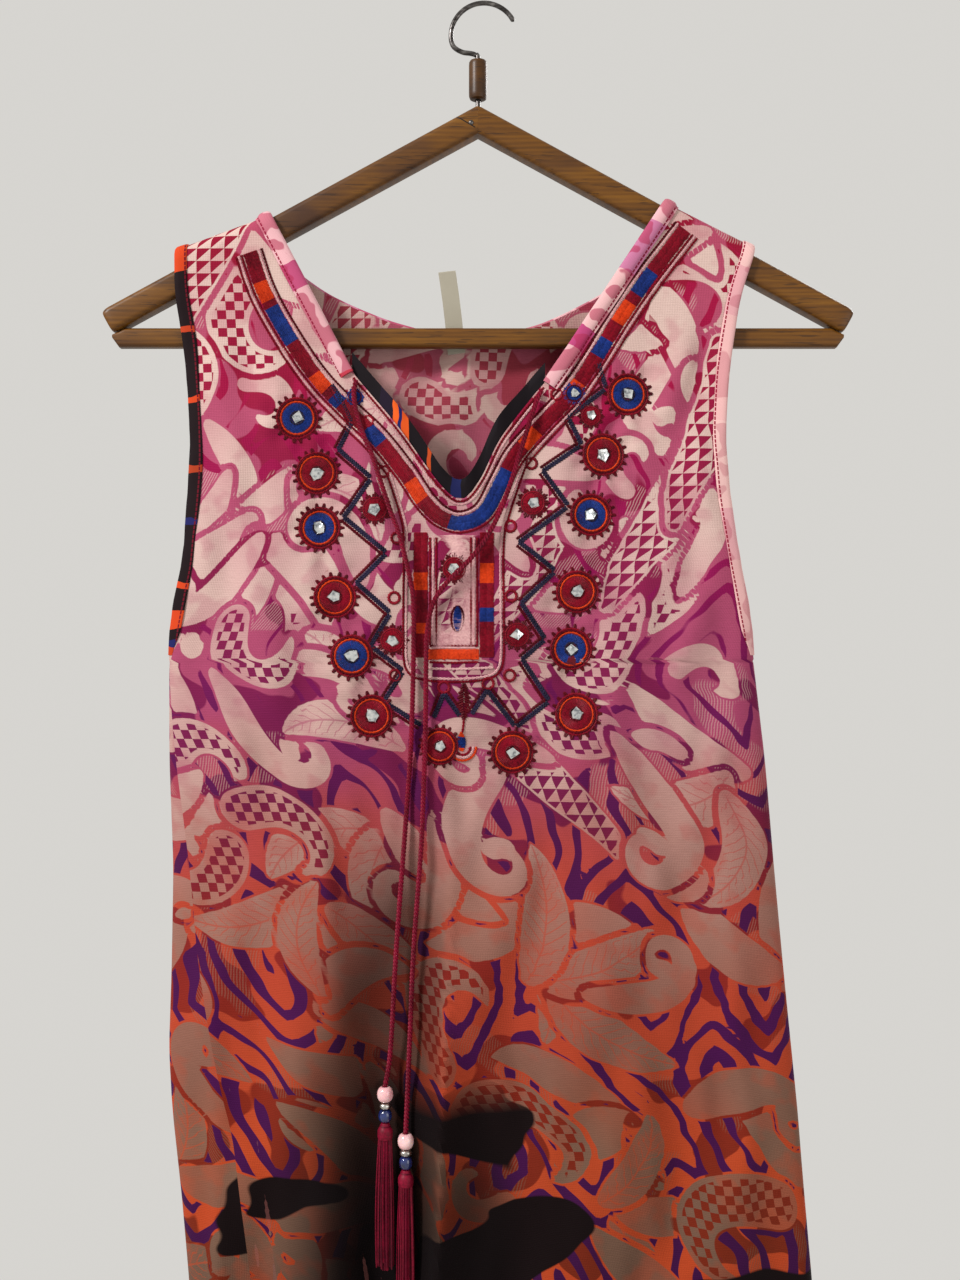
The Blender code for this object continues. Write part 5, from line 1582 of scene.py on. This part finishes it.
def binding_profile(at, total):
    """The binding's section at a length along it: lumpy, and narrower near both ends."""
    taper = 0.5 + 0.5 * float(smoothstep(min(at, total - at), -1.0, 16.0))
    lump = 0.16 * math.sin(at / 4.1) + 0.12 * math.sin(at / 2.3 + 1)
    wide = BINDING_WIDTH + 0.35 * math.sin(at / 13.0)
    return np.array([
        (-0.5, -1.6), (-1.15, -1.3), (-1.5, -0.4), (-1.35, 0.6 + lump), (-0.4, 1.25 + lump),
        (1.6, 1.3 + lump), (wide - 2.0, 1.15), (wide - 0.9, 0.95), (wide - 0.2, 0.7),
        (wide, 0.35), (wide - 0.2, 0.1), (0.3, 0.1), (-0.45, 0.0), (-0.5, -0.8),
    ]) * taper


left_cloth = cloth_strip_material("binding_left", LEFT_BINDING, "5E0A1C", BINDING_SEAM[0])
right_cloth = cloth_strip_material("binding_right", RIGHT_BINDING, "7E0E2C", BINDING_SEAM[1], 0.35)
for name, material, slot, is_left in (("binding_left", left_cloth, "orange_binding", True),
                                      ("binding_right", right_cloth, "pink_binding", False)):
    path, normals, into = armhole_line(is_left)
    along = along_of(path)
    profiles = [binding_profile(at, along[-1]) for at in along]
    obj = edge_trim(name, path, normals, into, profiles, material)
    take_place(obj, slot, "armhole_" + name)


def casing_line():
    """The neck's edge from the left corner round the back to the right one, with its normals
    and its way into the cloth."""
    last = front.outer.shape[1] - 1
    back_last = back.outer.shape[1] - 1
    stations = [(front, j) for j in range(front.corner_left, front.strap, -1)]
    stations += [(back, j) for j in range(back.strap, back_last - back.strap + 1)]
    stations += [(front, j) for j in range(last - front.strap - 1, front.corner_right - 1, -1)]
    path = np.array([shell.outer[0, j] for shell, j in stations])
    normals = np.array([shell.normals[0, j] for shell, j in stations])
    keep = [0]
    for i in range(1, len(path)):
        if np.linalg.norm(path[i] - path[keep[-1]]) > CASING_STEP:
            keep.append(i)
    path, normals = path[keep], normals[keep]
    into = np.cross(tangents(path), normals)
    from_middle = (path - np.array(NECK_MIDDLE)) * np.array([1, 0, 1])
    into *= np.sign((into * from_middle).sum(axis=1, keepdims=True))
    for i, (x, _, height) in enumerate(path):
        ends = SHOULDER_LEFT if x < 0 else SHOULDER_RIGHT[::-1]
        over_arm = unit(np.array([ends[0][0] - ends[1][0], 0.0, ends[0][1] - ends[1][1]]))
        share = smoothstep(shoulder_height(x) - height, ARCH_DROP, 2.5 * ARCH_DROP)
        into[i] = over_arm * (1 - share) + unit(into[i]) * share
    return path, normals, into


def uneven(rng, knots, count):
    """Random values between -1 and 1, smoothed between the knots."""
    line = np.stack([np.linspace(0, 1, knots), rng.uniform(-1, 1, knots)], 1)
    return smooth_line(line, count)[:, 1]


def casing_profile(at, total, lump, tuck):
    """The rolled tunnel's section at a length along it, pinched near both ends."""
    pinch = 0.72 + 0.28 * float(smoothstep(min(at, total - at), 0.0, 9.0))
    high, wide = (CASING_HEIGHT + 0.42 * lump) * pinch, CASING_WIDTH + 0.3 * tuck
    return np.array([
        (-0.8, 0.3), (-1.25, 0.35 * high), (-0.9, 0.68 * high), (0.2, 0.9 * high),
        (1.8, high), (3.6, high * (1.0 + 0.05 * tuck)), (5.2, 0.9 * high), (6.3, 0.66 * high),
        (6.9, 0.42 * high), (7.5, 0.36 * high), (wide, 0.32 * high), (wide + 0.1, 0.35),
        (wide - 0.4, 0.25), (2.0, 0.25),
    ])


path, normals, into = casing_line()
along = along_of(path)
rng = np.random.default_rng(9)
lumps = uneven(rng, 90, len(path))
tucks = uneven(rng, 60, len(path))
profiles = [casing_profile(at, along[-1], lump, tuck)
            for at, lump, tuck in zip(along, lumps, tucks)]
casing_cloth = cloth_strip_material("casing_cloth", CASING, "7E1030", CASING_SEAM, 0.7)
casing = edge_trim("gathered_casing", path, normals, into, profiles, casing_cloth)
take_place(casing, "casing", "neck_casing")


def facing_body(edge):
    """The strip behind the notch's edge: a bent plate that rises over it and hangs below it."""
    slope = np.gradient(edge[:, 2], edge[:, 0])
    rise = 7.4 * np.sqrt(1 + np.minimum(slope**2, 4.0))
    rise = np.convolve(np.pad(rise, 6, mode="edge"), np.ones(13) / 13, mode="valid")
    rows = []
    for share, back_by in ((1.02, 1.5), (1.0, 1.2), (0.5, 1.25), (0.0, 1.3), (-0.6, 1.3)):
        wave = 0.25 * np.sin(np.arange(len(edge)) * 0.8 + share * 2)
        row = edge + np.array([0.0, back_by, 0.0])
        row[:, 2] += rise * share
        row[:, 1] += wave * (share > 0.2)
        rows.append(row)
    outer_side = np.array(rows)
    inner_side = outer_side + np.array([0.0, 0.6, 0.0])
    count = len(edge)
    points = np.concatenate([outer_side.reshape(-1, 3), inner_side.reshape(-1, 3)])
    base = len(rows) * count
    faces = grid_faces(len(rows), count) + [f[::-1] for f in grid_faces(len(rows), count, base)]
    loop = [i * count + j for i, j in rim_of(len(rows), count)]
    faces += [(a, base + a, base + b, b) for a, b in zip(loop, loop[1:] + loop[:1])]
    return points, turned(points, faces), len(rows) * 2


# The dark facing that shows inside the notch.
edge = front.outer[0, front.corner_left : front.corner_right + 1]
along = along_of(edge)
points, faces, row_count = facing_body(edge)
facing_cloth = cloth_strip_material("facing_cloth", FACING, "120C10", NO_SEAM)
facing = add_object("dark_facing", points, faces, facing_cloth, 60)
set_values(facing, "run", np.tile(along, row_count))
set_values(facing, "over", np.zeros(len(points)))
take_place(facing, "facing", "notch_facing")

# The ribbon loop at the back of the neck, folded at its top.
LOOP_TOP, LOOP_FOOT = np.array([-18.2, -153.5]), np.array([-12.6, -201.0])
RIBBON_SECTION = [(-5, -0.2), (-2.5, -0.24), (2.5, -0.24), (5, -0.2), (5.1, 0), (5, 0.2),
                  (2.5, 0.24), (-2.5, 0.24), (-5, 0.2), (-5.1, 0)]


def ribbon_body():
    """The ribbon from its foot up, over its fold and down again behind itself."""
    ahead = unit(LOOP_TOP - LOOP_FOOT)
    fold = [(t, 7.05) for t in np.linspace(0, 1, 14)]
    fold += [(1.008 + 0.006 * math.sin(a), 7.55 - 0.5 * math.cos(a))
             for a in np.linspace(0.3, 2.8, 6)]
    fold += [(t, 8.05) for t in np.linspace(1, 0, 14)]
    path = []
    for t, y in fold:
        place = LOOP_FOOT + (LOOP_TOP - LOOP_FOOT) * t
        path.append((place[0] + 0.5 * math.sin(3 * t), y + 0.12 * math.sin(7 * t), place[1]))
    path = np.array(path)
    sides = np.tile([ahead[1], 0.0, -ahead[0]], (len(path), 1))
    ups = unit(np.cross(sides, tangents(path)))
    return sweep(path, sides, ups, np.array(RIBBON_SECTION))


ribbon_look = Shading("ribbon_weave", Roughness=0.42, Sheen_Weight=0.3)
ribs = ribbon_look.add("ShaderNodeTexWave", {"Vector": ribbon_look.place(), "Scale": 520.0,
                                             "Distortion": 0.4}, output=1, bands_direction="Z")
ribbon_look.bump(ribs, 0.5, 0.0003)
ribbon_look.colour(ribbon_look.ramp(ribs, [(0.2, "8A8474"), (0.8, "A29A88")]))
loop = add_object("ribbon_loop", *ribbon_body(), ribbon_look.material, 50)
take_place(loop, "ribbon", "neck_loop")

# The hem's stitching, front and back.
HEM_DEEP, HEM_STITCH = 11.0, 3.2
hems = Stitches()
for shell in (front, back):
    row = int(np.abs(shell.outer[:, 0, 2] - (HEM_Z + HEM_DEEP)).argmin())
    line = shell.outer[row, 2:-2] + shell.normals[row, 2:-2] * 0.15
    step = along_of(line)
    at = np.arange(0, step[-1], HEM_STITCH)
    marks = np.stack([np.interp(at, step, line[:, k]) for k in range(3)], axis=1)
    ways = np.stack([np.interp(at, step, shell.normals[row, 2:-2, k]) for k in range(3)], axis=1)
    for i in range(len(marks) - 1):
        end = marks[i] + (marks[i + 1] - marks[i]) * 0.78
        hems.add(marks[i], end, ways[i], 0.55, 0.3, D)
finish_work("hem_stitching", hems, [])


# The hanger.
ARM_SLOPE = math.radians(28.6)
ARM_HIGH = 14.5
APEX_Z = -59.7
WOOD_COLOURS = [(0.2, "3A2203"), (0.5, "5A3608"), (0.75, "6E460C"), (0.95, "7E5412")]
ARM_HALF_THICK, ARM_ROUNDS_FROM, ARM_TIP_LONG = 7.0, 210.0, 4.6
ARM_TOP_Z = -60.6


def rounded_box(half_wide, half_high, radius, corner=6):
    """A rectangle's outline with rounded corners."""
    points = []
    for k, (sx, sy) in enumerate(((1, 1), (-1, 1), (-1, -1), (1, -1))):
        for step in range(corner + 1):
            angle = math.pi / 2 * (k + step / corner)
            points.append((sx * (half_wide - radius) + radius * math.cos(angle),
                           sy * (half_high - radius) + radius * math.sin(angle)))
    return np.array(points)


def wood_material(name, turn):
    """Polished hardwood: grain along the piece, dark pores and darker patches."""
    look = Shading(name, Roughness=0.45, Coat_Weight=0.06, Coat_Roughness=0.25,
                   Specular_IOR_Level=0.25)
    lain = look.place((14, 90, 160), (0, turn, 0))
    grain = look.noise(lain, 1.0, 6.0, 0.62)
    lines = look.add("ShaderNodeTexWave", {"Vector": look.place((3, 60, 130), (0, turn, 0)),
                                           "Scale": 1.0, "Distortion": 5.0, "Detail": 3.0},
                     output=1, bands_direction="Z")
    mixed = look.maths("MULTIPLY_ADD", lines, 0.14, look.times(grain, 0.9))
    colour = look.ramp(mixed, WOOD_COLOURS)
    stain = look.noise(look.place((9, 20, 20)), 1.6, 3.0)
    colour = look.mix(look.above(stain, 0.56, 0.12), colour, "3E2412")
    pores = look.above(look.noise(look.place((60, 500, 900), (0, turn, 0)), 1.0, 2.0), 0.64, 0.03)
    colour = look.mix(look.times(pores, 0.6), colour, "26140A")
    look.bump(mixed, 0.25, 0.0004)
    return look, colour


def hanger_arm(side):
    """An arm from the middle out: its top levels off there, and its tip is rounded."""
    slope = math.tan(ARM_SLOPE)
    stations = [0.01, *np.linspace(2.0, 30.0, 12), *np.linspace(34.0, ARM_ROUNDS_FROM, 40)]
    ends = [(x, 1.0, ARM_HALF_THICK) for x in stations]
    for k in range(1, 8):
        turn = math.pi / 2 * k / 7.2
        ends.append((ARM_ROUNDS_FROM + ARM_TIP_LONG * math.sin(turn),
                     0.7 + 0.3 * math.cos(turn) ** 0.8, 4.8 + 2.2 * math.cos(turn) ** 0.6))
    rings = []
    for x, tall, half_thick in ends:
        lean = ARM_SLOPE * float(smoothstep(x, 4.0, 32.0))
        high = ARM_HIGH / math.cos(ARM_SLOPE - lean) * tall
        middle_z = APEX_Z - slope * x - ARM_HIGH / math.cos(ARM_SLOPE) / 2
        shape = rounded_box(half_thick, high / 2, min(3.2, high / 2 - 0.2, half_thick - 0.2))
        for y, up in shape:
            rings.append((side * (x + up * math.sin(lean)), y, middle_z + up * math.cos(lean)))
    points = np.array(rings)
    points[:, 0] = np.where(side * points[:, 0] < 0.01, side * 0.01, points[:, 0])
    points[:, 2] = np.minimum(points[:, 2], ARM_TOP_Z)
    count = len(shape)
    faces = []
    for i in range(len(ends) - 1):
        for k in range(count):
            a, b = i * count + k, i * count + (k + 1) % count
            faces.append((a, b, b + count, a + count))
    faces.append(tuple(range(count))[::-1])
    faces.append(tuple((len(ends) - 1) * count + k for k in range(count)))
    return points, turned(points, faces)


for side_name, side in (("left", -1), ("right", 1)):
    look, colour = wood_material(f"wood_{side_name}", side * ARM_SLOPE)
    if side < 0:
        # The line where the two arms are jointed.
        spot = look.add("ShaderNodeSeparateXYZ", {0: look.place((1000, 1000, 1000))})
        x_of, z_of = spot.node.outputs[0], spot.node.outputs[2]
        off_line = look.maths("ADD", z_of, look.maths("MULTIPLY_ADD", x_of, 0.586, 74.3))
        joint = look.times(look.window(off_line, -0.4, 0.4, 0.12),
                           look.window(x_of, -16.0, -1.6, 0.2))
        colour = look.mix(joint, colour, "160B05")
    arm = add_object(f"wooden_arm_{side_name}", *hanger_arm(side), look.colour(colour), 50)
    take_place(arm, "hanger_wood", f"hanger_arm_{side_name}")

BAR_TOP, BAR_BOTTOM = -188.2, -199.2
BAR_HALF_THICK, BAR_ROUNDING = 4.5, 2.3


def bar_body():
    """The round-edged bar between the arms, tapered into them at both ends."""
    path, profiles = [], []
    for x in [-211.6, *np.linspace(-208, -204, 4), *np.linspace(-200, 200, 41),
              *np.linspace(204, 208, 4), 211.6]:
        top = np.interp(abs(x), [0, 204.6, 212], [BAR_TOP, BAR_TOP, -192.3])
        low = np.interp(abs(x), [0, 208.5, 212], [BAR_BOTTOM, BAR_BOTTOM, -193.4])
        high = (top - low) / 2
        path.append((x, 0.0, (top + low) / 2))
        profiles.append(rounded_box(BAR_HALF_THICK, high, min(BAR_ROUNDING, high - 0.1)))
    return sweep(np.array(path), np.tile([0.0, 1.0, 0.0], (len(path), 1)),
                 np.tile([0.0, 0.0, 1.0], (len(path), 1)), profiles)


look, colour = wood_material("wood_bar", 0.0)
bar = add_object("wooden_bar", *bar_body(), look.colour(colour), 50)
take_place(bar, "hanger_wood", "hanger_bar")

SLEEVE_CENTRE = (0.0, 0.0, -43.6)
SLEEVE_PROFILE = [(1.9, 11.4), (3.4, 11.5), (4.6, 11.1), (5.15, 10.2), (5.3, 8.5), (5.3, -8.0),
                  (5.2, -9.6), (4.7, -10.9), (3.6, -11.5), (1.9, -11.5)]
look, colour = wood_material("wood_sleeve", math.pi / 2)
colour = look.mix(0.45, colour, "1E1004")
points, faces = lathe(SLEEVE_PROFILE, 36, SLEEVE_CENTRE)
sleeve = add_object("wooden_sleeve", points, turned(points, faces), look.colour(colour), 40)
take_place(sleeve, "hanger_wood", "stem_sleeve")

HOOK_CENTRE, HOOK_RADIUS, WIRE_RADIUS = (3.5, -17.8), 19.2, 1.4
HOOK_NECK = [(-13.6, -24.6), (-9.0, -27.2), (-4.4, -27.9), (-1.4, -28.9), (0.0, -32.0)]
HOOK_SWEEP = (26.0, 190.0)
STEM_FOOT = (0.0, -60.3)


def hook_body():
    """The wire from its rounded tip round the hook's arc, down its neck and into the stem."""
    route = [(HOOK_CENTRE[0] + HOOK_RADIUS * math.cos(a),
              HOOK_CENTRE[1] + HOOK_RADIUS * math.sin(a))
             for a in np.radians(np.linspace(*HOOK_SWEEP, 16))]
    route += [*HOOK_NECK, STEM_FOOT]
    line = smooth_line(route, 150)
    line[line[:, 1] < HOOK_NECK[-1][1], 0] = 0.0
    path = np.stack([line[:, 0], np.zeros(len(line)), line[:, 1]], 1)
    ring = 2 * math.pi * np.arange(14) / 14
    circle = np.stack([np.cos(ring), np.sin(ring)], 1)
    ease = np.sqrt(1 - (1 - np.clip(along_of(path) / WIRE_RADIUS, 0.02, 1.0)) ** 2)
    return sweep(path, np.tile([0.0, 1.0, 0.0], (len(path), 1)),
                 np.cross(tangents(path), np.array([0.0, 1.0, 0.0])),
                 [circle * WIRE_RADIUS * share for share in ease])


steel_look = Shading("worn_steel", Metallic=1.0, Roughness=0.32)
worn = steel_look.noise(steel_look.place((1, 1, 3)), 180.0, 4.0)
steel_look.bump(worn, 0.25, 0.0002)
steel_look.colour(steel_look.ramp(worn, [(0.3, "2E2A28"), (0.55, "5C5856"), (0.75, "8E8A86")]))
hook = add_object("wire_hook", *hook_body(), steel_look.material, 60)
take_place(hook, "hook_steel", "hook_wire")

# The nail's head in the left arm, turned to the front.
NAIL_PROFILE = [(0.05, 0.9), (0.8, 0.75), (1.35, 0.3), (1.4, 0.0), (0.05, 0.0)]
NAIL_X, NAIL_FRONT, NAIL_Z = -4.0, -7.0, -70.6
points, faces = lathe(NAIL_PROFILE, 18, (0.0, 0.0, 0.0))
points = np.stack([points[:, 0] + NAIL_X, NAIL_FRONT - points[:, 2], points[:, 1] + NAIL_Z], 1)
add_object("joint_nail", points, turned(points, faces), steel_look.material, 40)

# Floor and light.
floor_look = Shading("pale_floor", Roughness=0.9)
floor_look.colour(floor_look.ramp(floor_look.noise(floor_look.place(), 3.0),
                                  [(0.3, "AAA8A4"), (0.7, "B2B0AC")]))
FLOOR_HALF, FLOOR_BACK, FLOOR_Z = 0.6, 0.55, -1.0
floor_mesh = bpy.data.meshes.new("floor")
floor_mesh.from_pydata([(-FLOOR_HALF, -FLOOR_HALF, FLOOR_Z), (FLOOR_HALF, -FLOOR_HALF, FLOOR_Z),
                        (FLOOR_HALF, FLOOR_BACK, FLOOR_Z), (-FLOOR_HALF, FLOOR_BACK, FLOOR_Z)],
                       [], [(0, 1, 2, 3)])
floor_mesh.materials.append(floor_look.material)
floor = bpy.data.objects.new("floor", floor_mesh)
bpy.context.scene.collection.objects.link(floor)

ROOM_COLOUR, ROOM_STRENGTH = "D2D0CC", 1.05
world = bpy.data.worlds.new("pale_room")
world.use_nodes = True
room = world.node_tree.nodes["Background"]
room.inputs["Color"].default_value = (*linear(ROOM_COLOUR), 1.0)
room.inputs["Strength"].default_value = ROOM_STRENGTH
bpy.context.scene.world = world
bpy.context.scene.view_settings.view_transform = "Standard"

# name, place, what it points at, size, power.
LIGHTS = [
    ("key", (-1.9, -1.5, 1.15), (0.0, 0.0, -0.4), 0.5, 96.0),
    ("fill", (1.3, -1.3, -0.3), (0.0, 0.0, -0.45), 1.2, 7.5),
    ("behind", (1.3, 1.6, 0.7), (0.0, 0.0, -0.4), 0.8, 26.0),
]
for name, place, target, size, power in LIGHTS:
    data = bpy.data.lights.new(name, "AREA")
    data.size = size
    data.energy = power
    lamp = bpy.data.objects.new(name, data)
    lamp.location = place
    lamp.rotation_euler = (Vector(target) - Vector(place)).to_track_quat("-Z", "Y").to_euler()
    bpy.context.scene.collection.objects.link(lamp)
